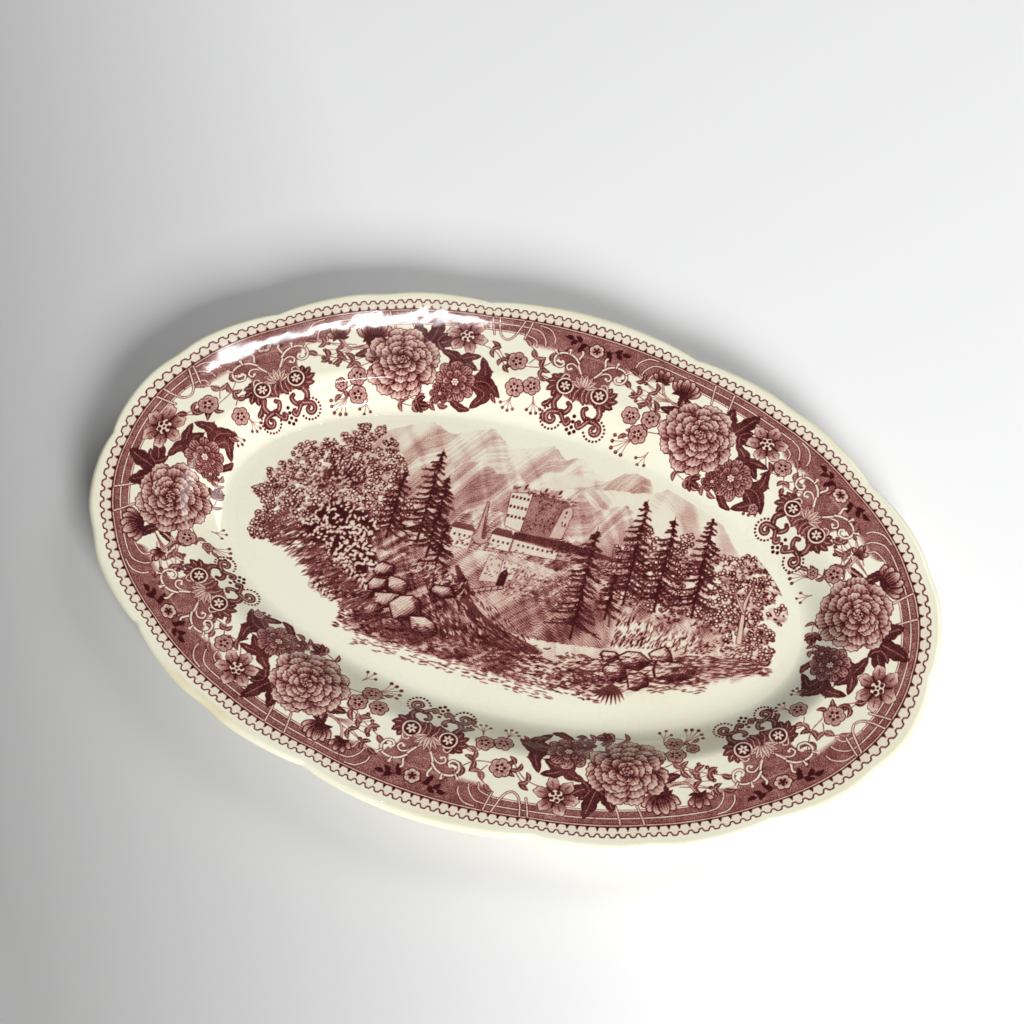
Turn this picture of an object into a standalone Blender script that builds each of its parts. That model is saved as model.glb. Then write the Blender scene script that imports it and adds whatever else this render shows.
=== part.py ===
"""Oval china serving platter with a lobed rim, built as the layers that it is fired from.

One clay casting carries everything: the flat well, the cavetto that rises from it, the wide rim with
its ten-lobed lip, and the foot ring underneath.  Over it lie two coats of ivory glaze, which the wiped
foot keeps apart, and on the glaze lie the printed films: a narrow lace edging, six strips of floral
border laid end to end, and one landscape in the well.

The frame: +X along the length, +Y across the width, +Z up, the origin under the middle of the foot.
Every surface is an oval "inset" t: an ellipse whose two half axes are both shorter by t than the lip's.
"""
import math

import bmesh
import bpy
import numpy as np

# Driving dimensions, in metres.
LENGTH = 0.420
WIDTH = 0.286
HEIGHT = 0.026

# The lip: how thick it is, how far its ten lobes swing in and out, and how deep their notches are.
LIP_THICKNESS = 0.0044
LOBES = 10
LOBE_SWING = 0.0019
LOBE_NOTCH = 0.0011
NOTCH_WIDTH = 0.085
LOBE_LIFT = 0.0006
LOBE_REACH = 0.022
ARCH_POWER = 0.7

# The section, from the lip inwards.
SHOULDER_INSET = 0.041
WELL_INSET = 0.065
SHOULDER_HEIGHT = 0.0210
WELL_HEIGHT = 0.0085
SHOULDER_SLOPE = 0.12
CAVETTO_THICKNESS = 0.0052

# The foot ring, and the recess inside it.
GLAZE_LINE = 0.0010
FOOT_TOP = 0.0040
FOOT_INSET = 0.0620
FOOT_WIDTH = 0.0050
FOOT_FLARE = 0.0015
RECESS_HEIGHT = 0.0032
RECESS_CHAMFER = 0.0012

# The fired layers: each one lies a gap above the one below.
GAP = 0.0003
GLAZE = 0.0005
PRINT = 0.00025

# The printed films, as insets from the lip or as half axes.
LACE_INSETS = (0.0050, 0.0106)
BORDER_INSETS = (0.0109, 0.0660)
BORDER_STRIPS = 6
LANDSCAPE_HALF_AXES = (0.1412, 0.0735)

# Points round the oval: a multiple of both the lobes and the border strips.
STATIONS = 90

# Where the section has its points across the cavetto, across the rim, and along the back.
CAVETTO_INSETS = (0.060, 0.053, 0.046, SHOULDER_INSET)
RIM_INSET = 0.020
BACK_INSETS = (0.030, 0.046, 0.054)

# Colours, as linear RGB.
CLAY_BUFF = (0.72, 0.66, 0.55)
GLAZE_IVORY = (0.86, 0.83, 0.70)
PRINT_RED = (0.29, 0.065, 0.07)

HALF_LENGTH = LENGTH / 2 + LOBE_SWING / 2
HALF_WIDTH = WIDTH / 2 - LOBE_SWING
LIP_RADIUS = LIP_THICKNESS / 2


def clear_scene():
    """Remove every object that is in the scene."""
    for item in list(bpy.data.objects):
        bpy.data.objects.remove(item, do_unlink=True)


def oval_angles(shares):
    """Ellipse angles that lie at the given shares of the way round the lip."""
    fine = np.linspace(0.0, 2 * np.pi, 4001)
    x = HALF_LENGTH * np.cos(fine)
    y = HALF_WIDTH * np.sin(fine)
    run = np.concatenate(([0.0], np.cumsum(np.hypot(np.diff(x), np.diff(y)))))
    return np.interp(shares, run / run[-1], fine)


def lobe_swing(shares):
    """How far the lip stands out at each share of the way round.

    Each lobe is an arch between two valleys.  All but the two lobes in the middle of the long sides
    have a small notch at their crown, which makes them a pair of soft bumps.
    """
    along = (shares * LOBES) % 1.0
    number = np.floor(shares * LOBES + 1e-9).astype(int) % LOBES
    arch = np.sin(np.pi * along) ** ARCH_POWER
    notch = np.exp(-((along - 0.5) / NOTCH_WIDTH) ** 2)
    plain = np.isin(number, (LOBES // 4, LOBES // 4 + LOBES // 2))
    return LOBE_SWING * (2 * arch - 1) - np.where(plain, 0.0, LOBE_NOTCH) * notch


def oval_points(shares, inset, height):
    """Points in space at shares of the way round, each profile point an (inset, height) pair.

    The result is indexed [station, profile point, xyz].  The lobes fade out over LOBE_REACH.
    """
    angle = oval_angles(shares)[:, None]
    swing = lobe_swing(shares)[:, None]
    inset = np.asarray(inset)[None, :]
    height = np.asarray(height)[None, :]
    fade = np.clip(1 - np.maximum(inset, 0.0) / LOBE_REACH, 0, 1) ** 2
    normal_x = np.cos(angle) / HALF_LENGTH
    normal_y = np.sin(angle) / HALF_WIDTH
    size = np.hypot(normal_x, normal_y)
    x = (HALF_LENGTH - inset) * np.cos(angle) + swing * fade * normal_x / size
    y = (HALF_WIDTH - inset) * np.sin(angle) + swing * fade * normal_y / size
    z = height - LOBE_LIFT * fade * (1 - swing / LOBE_SWING) / 2
    return np.stack(np.broadcast_arrays(x, y, z), axis=2)


def rim_curve():
    """Slope at the lip, and the inset and height where the rim's face meets the rounded lip."""
    slope = 0.12
    for _ in range(8):
        tilt = math.atan(slope)
        start = LIP_RADIUS * (1 + math.sin(tilt))
        rise = HEIGHT - LIP_RADIUS * (1 - math.cos(tilt)) - SHOULDER_HEIGHT
        run = SHOULDER_INSET - start
        bend = (rise - SHOULDER_SLOPE * run) / run ** 2
        slope = SHOULDER_SLOPE + 2 * bend * run
    return slope, start, bend


RIM_SLOPE, RIM_START, RIM_BEND = rim_curve()


def face_height(inset):
    """Height of the glazed upper face: a dished rim, an S-shaped cavetto, and the flat well."""
    inset = np.asarray(inset, dtype=float)
    run = SHOULDER_INSET - inset
    rim = SHOULDER_HEIGHT + SHOULDER_SLOPE * run + RIM_BEND * run ** 2
    width = WELL_INSET - SHOULDER_INSET
    u = np.clip((inset - SHOULDER_INSET) / width, 0, 1)
    drop = SHOULDER_HEIGHT - WELL_HEIGHT
    cavetto = SHOULDER_HEIGHT - drop * u ** 2 * (3 - 2 * u) - SHOULDER_SLOPE * width * u * (1 - u) ** 2
    return np.where(inset < SHOULDER_INSET, rim, cavetto)


def face_normal(inset):
    """Unit normal of the upper face in the (inset, height) plane."""
    step = 1e-5
    slope = (face_height(inset + step) - face_height(inset - step)) / (2 * step)
    size = np.hypot(slope, 1.0)
    return -slope / size, 1.0 / size


def face_profile(insets, lift):
    """Points of the upper face at the insets, moved along its normal by lift."""
    insets = np.asarray(insets, dtype=float)
    across, up = face_normal(insets)
    return np.stack((insets + lift * across, face_height(insets) + lift * up), axis=1)


def coat_profile(depth):
    """The glazed section from the well over the lip to the glaze line, moved inwards by depth."""
    top = np.array((WELL_INSET, *CAVETTO_INSETS, RIM_INSET, RIM_START))
    face = face_profile(top, -depth)

    tilt = math.atan(RIM_SLOPE)
    centre = np.array((LIP_RADIUS, face_height(RIM_START) - LIP_RADIUS * math.cos(tilt)))
    turn = np.radians(np.array([45.0, 90.0, 135.0]))
    angle = np.pi / 2 - tilt + turn
    lip = centre + (LIP_RADIUS - depth) * np.stack((np.cos(angle), np.sin(angle)), axis=1)

    under = np.array((RIM_START, *BACK_INSETS))
    blend = under / under[-1]
    thick = LIP_THICKNESS + (CAVETTO_THICKNESS - LIP_THICKNESS) * blend
    back = face_profile(under, depth - thick)
    foot = np.array(((FOOT_INSET - FOOT_FLARE, FOOT_TOP), (FOOT_INSET, GLAZE_LINE)))
    foot[:, 0] += depth
    foot[0, 1] += depth / 2
    return np.vstack((face, lip, back, foot))


def finish_object(name, builder, colour, roughness):
    """Turn a bmesh into a named, smooth-shaded object with its own material."""
    bmesh.ops.recalc_face_normals(builder, faces=builder.faces[:])
    mesh = bpy.data.meshes.new(name)
    builder.to_mesh(mesh)
    builder.free()
    mesh.shade_smooth()
    mesh.set_sharp_from_angle(angle=math.radians(40))

    material = bpy.data.materials.new(name)
    material.use_nodes = True
    shader = material.node_tree.nodes["Principled BSDF"]
    shader.inputs["Base Color"].default_value = (*colour, 1.0)
    shader.inputs["Roughness"].default_value = roughness
    shader.inputs["Metallic"].default_value = 0.0
    mesh.materials.append(material)

    item = bpy.data.objects.new(name, mesh)
    bpy.context.scene.collection.objects.link(item)
    return item


def ring_solid(name, points, colour, roughness):
    """A solid whose profile starts and ends on the middle, so its two end rings are capped flat."""
    builder = bmesh.new()
    stations, count = points.shape[:2]
    verts = [[builder.verts.new(points[i, j]) for j in range(count)] for i in range(stations)]
    for i in range(stations):
        near = verts[i]
        far = verts[(i + 1) % stations]
        for j in range(count - 1):
            builder.faces.new((near[j], far[j], far[j + 1], near[j + 1]))
    for j in (0, count - 1):
        builder.faces.new([verts[i][j] for i in range(stations)])
    return finish_object(name, builder, colour, roughness)


def film_solid(name, shares, insets, closed):
    """A printed film: a thin closed section lofted round the oval, open at its ends or joined up."""
    upper = face_profile(insets, GAP + PRINT)
    lower = face_profile(insets, GAP)[::-1]
    section = np.vstack((upper, lower))
    points = oval_points(shares, section[:, 0], section[:, 1])
    builder = bmesh.new()
    stations, count = points.shape[:2]
    verts = [[builder.verts.new(points[i, j]) for j in range(count)] for i in range(stations)]
    for i in range(stations if closed else stations - 1):
        near = verts[i]
        far = verts[(i + 1) % stations]
        for j in range(count):
            after = (j + 1) % count
            builder.faces.new((near[j], far[j], far[after], near[after]))
    if not closed:
        for end in (verts[0], verts[-1]):
            half = count // 2
            for j in range(half - 1):
                builder.faces.new((end[j], end[j + 1], end[count - 2 - j], end[count - 1 - j]))
    return finish_object(name, builder, PRINT_RED, 0.18)


def platter_body(shares):
    """The fired clay in one piece: well, cavetto, rim, lip and foot ring."""
    skin = coat_profile(GAP + GLAZE)
    outer = FOOT_INSET + GAP + GLAZE
    foot = np.array((
        (outer, 0.0),
        (outer + FOOT_WIDTH, 0.0),
        (outer + FOOT_WIDTH + RECESS_CHAMFER, RECESS_HEIGHT),
    ))
    section = np.vstack((skin, foot))
    points = oval_points(shares, section[:, 0], section[:, 1])
    return ring_solid("platter_body", points, CLAY_BUFF, 0.75)


def glaze_coat(shares):
    """The main coat: over the face, round the lip and down the back to the glaze line."""
    section = np.vstack((coat_profile(0.0), coat_profile(GLAZE)[::-1]))
    points = oval_points(shares, section[:, 0], section[:, 1])
    return ring_solid("glaze_coat", points, GLAZE_IVORY, 0.12)


def recess_glaze(shares):
    """The second coat, on the recessed floor inside the foot ring."""
    inset = FOOT_INSET + GAP + GLAZE + FOOT_WIDTH + RECESS_CHAMFER + 2 * GAP
    top = RECESS_HEIGHT - GAP
    section = np.array(((inset, top), (inset, top - GLAZE)))
    points = oval_points(shares, section[:, 0], section[:, 1])
    return ring_solid("recess_glaze", points, GLAZE_IVORY, 0.12)


def landscape_print():
    """The printed scene: one oval film lying flat in the well."""
    angle = np.linspace(0, 2 * np.pi, STATIONS, endpoint=False)
    half_x, half_y = LANDSCAPE_HALF_AXES
    base = WELL_HEIGHT + GAP
    rings = []
    for height in (base + PRINT, base):
        level = np.full_like(angle, height)
        rings.append(np.stack((half_x * np.cos(angle), half_y * np.sin(angle), level), axis=1))
    points = np.stack(rings, axis=1)
    return ring_solid("landscape_print", points, PRINT_RED, 0.18)


def lace_edge_print(shares):
    """The narrow toothed edging, one closed ring just inside the lip."""
    film_solid("lace_edge_print", shares, LACE_INSETS, closed=True)


def border_prints():
    """Six equal strips of floral border, laid end to end with a hairline gap at each joint."""
    first, last = BORDER_INSETS
    insets = np.array((first, RIM_INSET, *CAVETTO_INSETS[::-1], WELL_INSET, last))
    per_strip = STATIONS // BORDER_STRIPS
    joint = GAP / (math.pi * (HALF_LENGTH + HALF_WIDTH - last * 2)) / 2
    for number in range(BORDER_STRIPS):
        shares = (number + np.linspace(0, 1, per_strip + 1)) / BORDER_STRIPS
        shares[0] += joint
        shares[-1] -= joint
        film_solid(f"border_print_{number + 1}", shares, insets, closed=False)


def main():
    clear_scene()
    shares = np.arange(STATIONS) / STATIONS
    platter_body(shares)
    glaze_coat(shares)
    recess_glaze(shares)
    landscape_print()
    lace_edge_print(shares)
    border_prints()


main()
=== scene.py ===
# %% [markdown]
# # An oval china platter with a printed border and a printed landscape
# The real ware is one casting of buff clay, glazed ivory.  Between the clay and the glaze lies a
# transfer print: an engraved plate is inked, printed on tissue, and the tissue is rubbed down on the ware.
# A picture laid over a plain oval could fake that, but nothing would then be drawn for its own sake.
# Here the engraving is drawn the way the engraver drew it.  A numpy array stands for the copper plate,
# tools cut petals, leaves and scrolls into it, and a fine grid of points on the ware carries the ink.

# %% Load the fixed frame
import math

import bpy
import numpy as np
from mathutils import Matrix, Vector


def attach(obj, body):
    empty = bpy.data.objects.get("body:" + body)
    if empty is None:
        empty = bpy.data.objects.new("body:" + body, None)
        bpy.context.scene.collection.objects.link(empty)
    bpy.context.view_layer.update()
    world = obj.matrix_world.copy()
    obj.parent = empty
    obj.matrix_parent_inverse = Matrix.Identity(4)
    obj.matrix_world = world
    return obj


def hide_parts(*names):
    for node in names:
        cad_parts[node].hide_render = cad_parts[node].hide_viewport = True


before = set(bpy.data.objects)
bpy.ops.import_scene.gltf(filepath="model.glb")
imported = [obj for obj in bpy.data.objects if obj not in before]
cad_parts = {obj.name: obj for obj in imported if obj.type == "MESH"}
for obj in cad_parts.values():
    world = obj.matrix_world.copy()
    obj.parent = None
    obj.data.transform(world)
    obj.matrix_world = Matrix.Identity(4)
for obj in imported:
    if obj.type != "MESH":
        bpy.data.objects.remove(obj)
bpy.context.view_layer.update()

# %% [markdown]
# ## The section of the ware
# A platter's whole shape is one section carried round an oval.  "Inset" is how far an oval lies inside
# the lip's own oval; the height of the face is a function of it.  Everything is worked in millimetres
# and turned into metres when a mesh is made, because a potter's drawing is in millimetres too.

# %% The ware's dimensions, in millimetres
MM = 0.001
HALF_LENGTH, HALF_WIDTH = 210.95, 141.1
LOBES, LOBE_SWING, LOBE_NOTCH, NOTCH_WIDTH = 10, 1.9, 1.1, 0.085
LOBE_LIFT, LOBE_REACH, ARCH_POWER = 0.6, 22.0, 0.7
HEIGHT, LIP_THICKNESS, CAVETTO_THICKNESS = 26.0, 4.4, 5.2
SHOULDER_INSET, SHOULDER_HEIGHT, SHOULDER_SLOPE = 41.0, 21.0, 0.12
BACK_END = 54.0                       # inset where the back's wall turns down to the foot
WELL_INSET, WELL_HEIGHT = 65.0, 8.5
FOOT_INSET, FOOT_TOP, FOOT_FLARE, FOOT_WIDTH, FOOT_ROUND = 62.0, 4.0, 1.5, 5.0, 0.6
GLAZE_LINE, RECESS_HEIGHT, RECESS_CHAMFER = 1.0, 3.2, 1.2
GAP, GLAZE = 0.3, 0.5
LIP_RADIUS = LIP_THICKNESS / 2
TURN = np.linspace(0, 2 * np.pi, 4001)


def run_of_oval(half_x, half_y):
    """Distance along an ellipse at each angle of TURN: the running sum of its short chords."""
    steps = np.hypot(np.diff(half_x * np.cos(TURN)), np.diff(half_y * np.sin(TURN)))
    return np.concatenate(([0.0], np.cumsum(steps)))


LIP_RUN = run_of_oval(HALF_LENGTH, HALF_WIDTH)


def lobe_swing(share):
    """Outward swing of the lip: arches between valleys, all but two of them notched at the crown."""
    along = (share * LOBES) % 1.0
    number = np.floor(share * LOBES + 1e-9).astype(int) % LOBES
    arch = np.sin(np.pi * along) ** ARCH_POWER
    notch = np.exp(-((along - 0.5) / NOTCH_WIDTH) ** 2)
    plain = np.isin(number, (LOBES // 4, LOBES // 4 + LOBES // 2))
    return LOBE_SWING * (2 * arch - 1) - np.where(plain, 0.0, LOBE_NOTCH) * notch


def on_the_oval(angle, inset, height):
    """Points at ellipse angle, inset and height.

    The ellipse's half axes are both shorter by the inset.  The lobes push a point along the oval's
    normal and fade with the square of how much of LOBE_REACH is left.
    """
    swing = lobe_swing(np.interp(angle % (2 * np.pi), TURN, LIP_RUN / LIP_RUN[-1]))
    fade = np.clip(1 - np.maximum(inset, 0.0) / LOBE_REACH, 0, 1) ** 2
    across, up = np.cos(angle) / HALF_LENGTH, np.sin(angle) / HALF_WIDTH
    size = np.hypot(across, up)
    x = (HALF_LENGTH - inset) * np.cos(angle) + swing * fade * across / size
    y = (HALF_WIDTH - inset) * np.sin(angle) + swing * fade * up / size
    z = height - LOBE_LIFT * fade * (1 - swing / LOBE_SWING) / 2
    return np.stack(np.broadcast_arrays(x, y, z), axis=-1)


def rim_curve():
    """Slope at the lip, inset where the face meets the lip's round, and the rim's bend."""
    slope = SHOULDER_SLOPE
    for _ in range(8):
        tilt = math.atan(slope)
        start = LIP_RADIUS * (1 + math.sin(tilt))
        rise = HEIGHT - LIP_RADIUS * (1 - math.cos(tilt)) - SHOULDER_HEIGHT
        run = SHOULDER_INSET - start
        bend = (rise - SHOULDER_SLOPE * run) / run ** 2
        slope = SHOULDER_SLOPE + 2 * bend * run
    return slope, start, bend


RIM_SLOPE, RIM_START, RIM_BEND = rim_curve()


def face_height(inset):
    """Height of the face: a nearly straight rim, an S-shaped cavetto, and the flat well."""
    run = SHOULDER_INSET - inset
    rim = SHOULDER_HEIGHT + SHOULDER_SLOPE * run + RIM_BEND * run ** 2
    width = WELL_INSET - SHOULDER_INSET
    u = np.clip((inset - SHOULDER_INSET) / width, 0, 1)
    drop = SHOULDER_HEIGHT - WELL_HEIGHT
    cavetto = SHOULDER_HEIGHT - drop * u ** 2 * (3 - 2 * u) - SHOULDER_SLOPE * width * u * (1 - u) ** 2
    return np.where(inset < SHOULDER_INSET, rim, cavetto)


def face_slope(inset):
    """Fall of the face per millimetre of inset, by a short central difference."""
    return (face_height(inset + 0.01) - face_height(inset - 0.01)) / 0.02


def off_the_face(inset, lift):
    """(inset, height) points moved off the face along its normal."""
    slope = face_slope(inset)
    size = np.hypot(slope, 1.0)
    return np.stack((inset - lift * slope / size, face_height(inset) + lift / size), axis=1)


def ware_section(depth, face_count, lip_count, back_count):
    """The glazed section from the well's edge over the lip to the glaze line, moved in by depth."""
    face = off_the_face(np.linspace(WELL_INSET, RIM_START, face_count), -depth)
    tilt = math.atan(RIM_SLOPE)
    centre = np.array((LIP_RADIUS, face_height(RIM_START) - LIP_RADIUS * math.cos(tilt)))
    angle = np.pi / 2 - tilt + np.linspace(0, np.pi, lip_count + 2)[1:-1]
    lip = centre + (LIP_RADIUS - depth) * np.stack((np.cos(angle), np.sin(angle)), axis=1)
    under = np.linspace(RIM_START, BACK_END, back_count)
    thick = LIP_THICKNESS + (CAVETTO_THICKNESS - LIP_THICKNESS) * under / under[-1]
    slope = face_slope(under)
    size = np.hypot(slope, 1.0)
    inward = depth - thick
    back = np.stack((under - inward * slope / size, face_height(under) + inward / size), 1)
    foot_top = (FOOT_INSET - FOOT_FLARE + depth, FOOT_TOP + depth / 2)
    foot = np.array((foot_top, (FOOT_INSET + depth, GLAZE_LINE)))
    curl = np.linspace(0, 1, 7)[1:, None]
    run_in = (1 - curl) ** 2 * back[-1] + 2 * curl * (1 - curl) * foot[0] + curl ** 2 * foot[1]
    return np.vstack((face, lip, back, run_in))


print(f"rim slope {RIM_SLOPE:.3f}, section of {len(ware_section(0, 60, 9, 20))} points")

# %% [markdown]
# ## Turning a section into a closed piece
# Blender's Screw modifier turns a profile round a circle, not an oval with lobes.  So the points are
# computed as one array, station by profile point, and the faces join each point to its neighbours.
# The two ends of the section are closed over the middle with a fan, so that the piece is watertight.


# %% Meshes from grids
def piece(name, points, faces):
    """A named object at the origin from points in millimetres and faces of three or four corners."""
    mesh = bpy.data.meshes.new(name)
    mesh.from_pydata((points * MM).tolist(), [], [f for part in faces for f in part.tolist()])
    mesh.shade_smooth()
    item = bpy.data.objects.new(name, mesh)
    bpy.context.scene.collection.objects.link(item)
    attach(item, "root")
    print(f"{name}: {sum(len(part) * (part.shape[1] - 2) for part in faces)} triangles")
    return item


def grid_faces(rows, columns, joined):
    """Four-cornered faces of a grid of points; joined closes its first row onto its last."""
    number = np.arange(rows * columns).reshape(rows, columns)
    after = np.roll(number, -1, axis=0) if joined else number[1:]
    here = number if joined else number[:-1]
    return np.stack((here[:, :-1], after[:, :-1], after[:, 1:], here[:, 1:]), -1).reshape(-1, 4)


def turned_piece(name, section, stations):
    """The section carried round the oval, both its ends closed by a fan to a point on the axis."""
    angle = np.interp(np.arange(stations) / stations, LIP_RUN / LIP_RUN[-1], TURN)
    rings = on_the_oval(angle[:, None], section[None, :, 0], section[None, :, 1])
    count = len(section)
    points = np.vstack((rings.reshape(-1, 3), [[0, 0, section[0, 1]], [0, 0, section[-1, 1]]]))
    number = np.arange(stations * count).reshape(stations, count)
    after = np.roll(number, -1, axis=0)
    top = np.stack((number[:, 0], np.full(stations, stations * count), after[:, 0]), -1)
    foot = np.stack((number[:, -1], after[:, -1], np.full(stations, stations * count + 1)), -1)
    faces = (grid_faces(stations, count, True)[:, ::-1], top[:, ::-1], foot[:, ::-1])
    return piece(name, points, faces)


# %% [markdown]
# ## The clay and its two coats of glaze
# The clay shows only where the foot was wiped before firing.  The main coat runs from the well over the
# lip and down the back to the glaze line; a second coat covers the floor inside the foot.  Each is a
# solid of its own, as the coats really are, and each stands for the plain CAD solid in the same place.

# %% Make the clay and the coats
outer = ware_section(0.0, 64, 11, 24)
inner = ware_section(GLAZE, 24, 5, 12)
glaze_coat = turned_piece("glaze_shell", np.vstack((outer, inner[::-1])), 540)
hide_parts("glaze_coat")

skin = ware_section(GAP + GLAZE, 30, 5, 14)
foot_out = FOOT_INSET + GAP + GLAZE
quarter = np.radians(np.linspace(0, 90, 5))
across, rise = FOOT_ROUND * np.cos(quarter), FOOT_ROUND * np.sin(quarter)
outer_corner = np.stack((foot_out + FOOT_ROUND - across, FOOT_ROUND - rise), 1)
inner_corner = np.stack((foot_out + FOOT_WIDTH - FOOT_ROUND + rise, FOOT_ROUND - across), 1)
recess = np.array(((foot_out + FOOT_WIDTH + RECESS_CHAMFER, RECESS_HEIGHT),))
clay = turned_piece("clay_body", np.vstack((skin, outer_corner, inner_corner, recess)), 360)
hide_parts("platter_body")

edge = foot_out + FOOT_WIDTH + RECESS_CHAMFER + 2 * GAP
swell = np.radians(np.linspace(0, 180, 7))
coat_middle = RECESS_HEIGHT - GAP - GLAZE / 2
coat_edge = np.stack((edge - GLAZE / 2 * np.sin(swell), coat_middle + GLAZE / 2 * np.cos(swell)), 1)
recess_coat = turned_piece("recess_glaze_coat", coat_edge, 360)
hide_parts("recess_glaze")

# %% [markdown]
# ## The engraver's plate
# A plate holds one number per point: 0 is bare glaze, 1 the darkest ink.  Every tool works the same way.
# It measures how far each point is from its outline, turns that into cover with an edge a third of a
# millimetre soft, and lays ink by that much.  Later strokes cover earlier ones, as in a painter's hand.


# %% The plate and its basic tools
SOFT = 0.34


class Plate:
    """Ink on a grid: rows run along y, columns along x; a joined plate closes end to end."""

    def __init__(self, x0, x1, y0, y1, step, joined=False):
        self.x0, self.y0, self.step, self.joined = x0, y0, step, joined
        self.columns = round((x1 - x0) / step) + (0 if joined else 1)
        self.rows = round((y1 - y0) / step) + 1
        self.ink = np.zeros((self.rows, self.columns))

    def window(self, x0, x1, y0, y1):
        """Row and column numbers of the points in a box, and the points' x and y."""
        i = np.arange(math.floor((x0 - self.x0) / self.step), math.ceil((x1 - self.x0) / self.step) + 1)
        j = np.arange(math.floor((y0 - self.y0) / self.step), math.ceil((y1 - self.y0) / self.step) + 1)
        j = j[(j >= 0) & (j < self.rows)]
        if not self.joined:
            i = i[(i >= 0) & (i < self.columns)]
        place = np.ix_(j, i % self.columns)
        return place, self.x0 + i[None, :] * self.step, self.y0 + j[:, None] * self.step

    def lay(self, place, cover, ink):
        """Blend ink over what is there by cover."""
        patch = self.ink[place]
        self.ink[place] = patch + (ink - patch) * cover


def cover(distance, soft=SOFT):
    """1 inside an outline and 0 outside, from the signed distance to it, with a soft edge."""
    return np.clip(0.5 - distance / soft, 0.0, 1.0)


def stamp(plate, x, y, reach, draw, turn=0.0):
    """Lay what draw(p, q) returns, as (cover, ink) pairs in local millimetres, about a point."""
    place, px, py = plate.window(x - reach, x + reach, y - reach, y + reach)
    dx, dy = px - x, py - y
    p = math.cos(turn) * dx + math.sin(turn) * dy
    q = -math.sin(turn) * dx + math.cos(turn) * dy
    for mask, ink in draw(p, q):
        plate.lay(place, mask, ink)


def smooth(points, steps):
    """A Catmull-Rom curve: between two points, cubic weights of the four nearest points."""
    points = np.asarray(points, dtype=float)
    ends = np.vstack((2 * points[0] - points[1], points, 2 * points[-1] - points[-2]))
    t = np.linspace(0, 1, steps, endpoint=False)[:, None]
    parts = []
    for a, b, c, d in zip(ends[:-3], ends[1:-2], ends[2:-1], ends[3:]):
        square, cube = 2 * a - 5 * b + 4 * c - d, 3 * b - a - 3 * c + d
        parts.append(0.5 * (2 * b + (c - a) * t + square * t ** 2 + cube * t ** 3))
    return np.vstack(parts + [points[-1:]])


def even(u):
    """A stroke as wide at its ends as in its middle."""
    return np.ones_like(u)


def thin_tip(u):
    """A stroke that starts full and runs out to a point."""
    return (1.0 - u) ** 0.6


def leaf_form(u):
    """A leaf: fullest a third of the way along, pointed at its tip."""
    return np.sin(np.pi * np.clip(u, 0, 1) ** 0.75) ** 0.85


def toothed_leaf(u):
    """A broad leaf with three blunt lobes a side."""
    u = np.clip(u, 0, 1)
    return np.sin(np.pi * u ** 0.85) ** 0.7 * (0.80 + 0.20 * np.abs(np.cos(3.3 * np.pi * u)))


def ribbon(plate, points, width, ink, form=even, edge=0.0, edge_ink=0.8, core=None, steps=7):
    """A stroke along a smooth curve: the distance to it, less half the width that form gives there.

    edge lays a wider stroke under it first; core lays a thin midrib of that ink on top.
    """
    path = smooth(points, steps)
    reach = width / 2 + edge + SOFT
    low, high = path.min(axis=0) - reach, path.max(axis=0) + reach
    place, px, py = plate.window(low[0], high[0], low[1], high[1])
    start, run = path[:-1], np.diff(path, axis=0)
    ax = px[..., None] - start[:, 0]
    ay = py[..., None] - start[:, 1]
    t = np.clip((ax * run[:, 0] + ay * run[:, 1]) / np.maximum((run ** 2).sum(axis=1), 1e-9), 0, 1)
    away = (ax - t * run[:, 0]) ** 2 + (ay - t * run[:, 1]) ** 2
    nearest = np.argmin(away, axis=-1)[..., None]
    distance = np.sqrt(np.take_along_axis(away, nearest, axis=-1)[..., 0])
    along = (nearest[..., 0] + np.take_along_axis(t, nearest, axis=-1)[..., 0]) / len(run)
    outline = distance - width / 2 * form(along)
    if edge:
        plate.lay(place, cover(outline - edge), edge_ink)
    plate.lay(place, cover(outline), ink)
    if core is not None:
        plate.lay(place, cover(distance - 0.16) * (along < 0.85), core)


def dots(plate, centres, radius, ink):
    """A round dot at each centre."""
    for x, y in centres:
        stamp(plate, x, y, radius + 0.5, lambda p, q: [(cover(np.hypot(p, q) - radius), ink)])


def ring_of(x, y, radius, count, start=0.0, sweep=2 * np.pi):
    """Centres spaced evenly on a circle or an arc of it."""
    angle = start + np.arange(count) / count * sweep
    return np.stack((x + radius * np.cos(angle), y + radius * np.sin(angle)), 1)


def leaf(plate, x, y, turn, length, width, ink, form=leaf_form, bend=0.15, core=0.25, edge_ink=0.0):
    """A leaf from its stalk's end, bent a little to one side, with a pale midrib."""
    side = np.array((-math.sin(turn), math.cos(turn)))
    ahead = np.array((math.cos(turn), math.sin(turn)))
    start = np.array((x, y))
    points = [start, start + 0.5 * length * ahead + bend * length * side, start + length * ahead]
    edge_ink = edge_ink or min(1.0, ink + 0.3)
    ribbon(plate, points, width, ink, form=form, edge=0.22, edge_ink=edge_ink, core=core, steps=6)


def spray(plate, points, length, ink, pairs=3, stem=0.42):
    """A stem with leaves in pairs and one at the tip."""
    path = smooth(points, 12)
    ribbon(plate, points, stem, 0.72)
    heading = np.arctan2(*(path[-1] - path[-4])[::-1])
    leaf(plate, *path[-1], heading, length, length * 0.42, ink)
    for share in np.linspace(0.35, 0.85, pairs):
        k = int(share * (len(path) - 2))
        heading = np.arctan2(*(path[k + 1] - path[k])[::-1])
        for side in (-1, 1):
            size = length * (1.05 - 0.3 * share)
            leaf(plate, *path[k], heading + side * 0.85, size, length * 0.4, ink, bend=0.12 * side)


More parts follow.
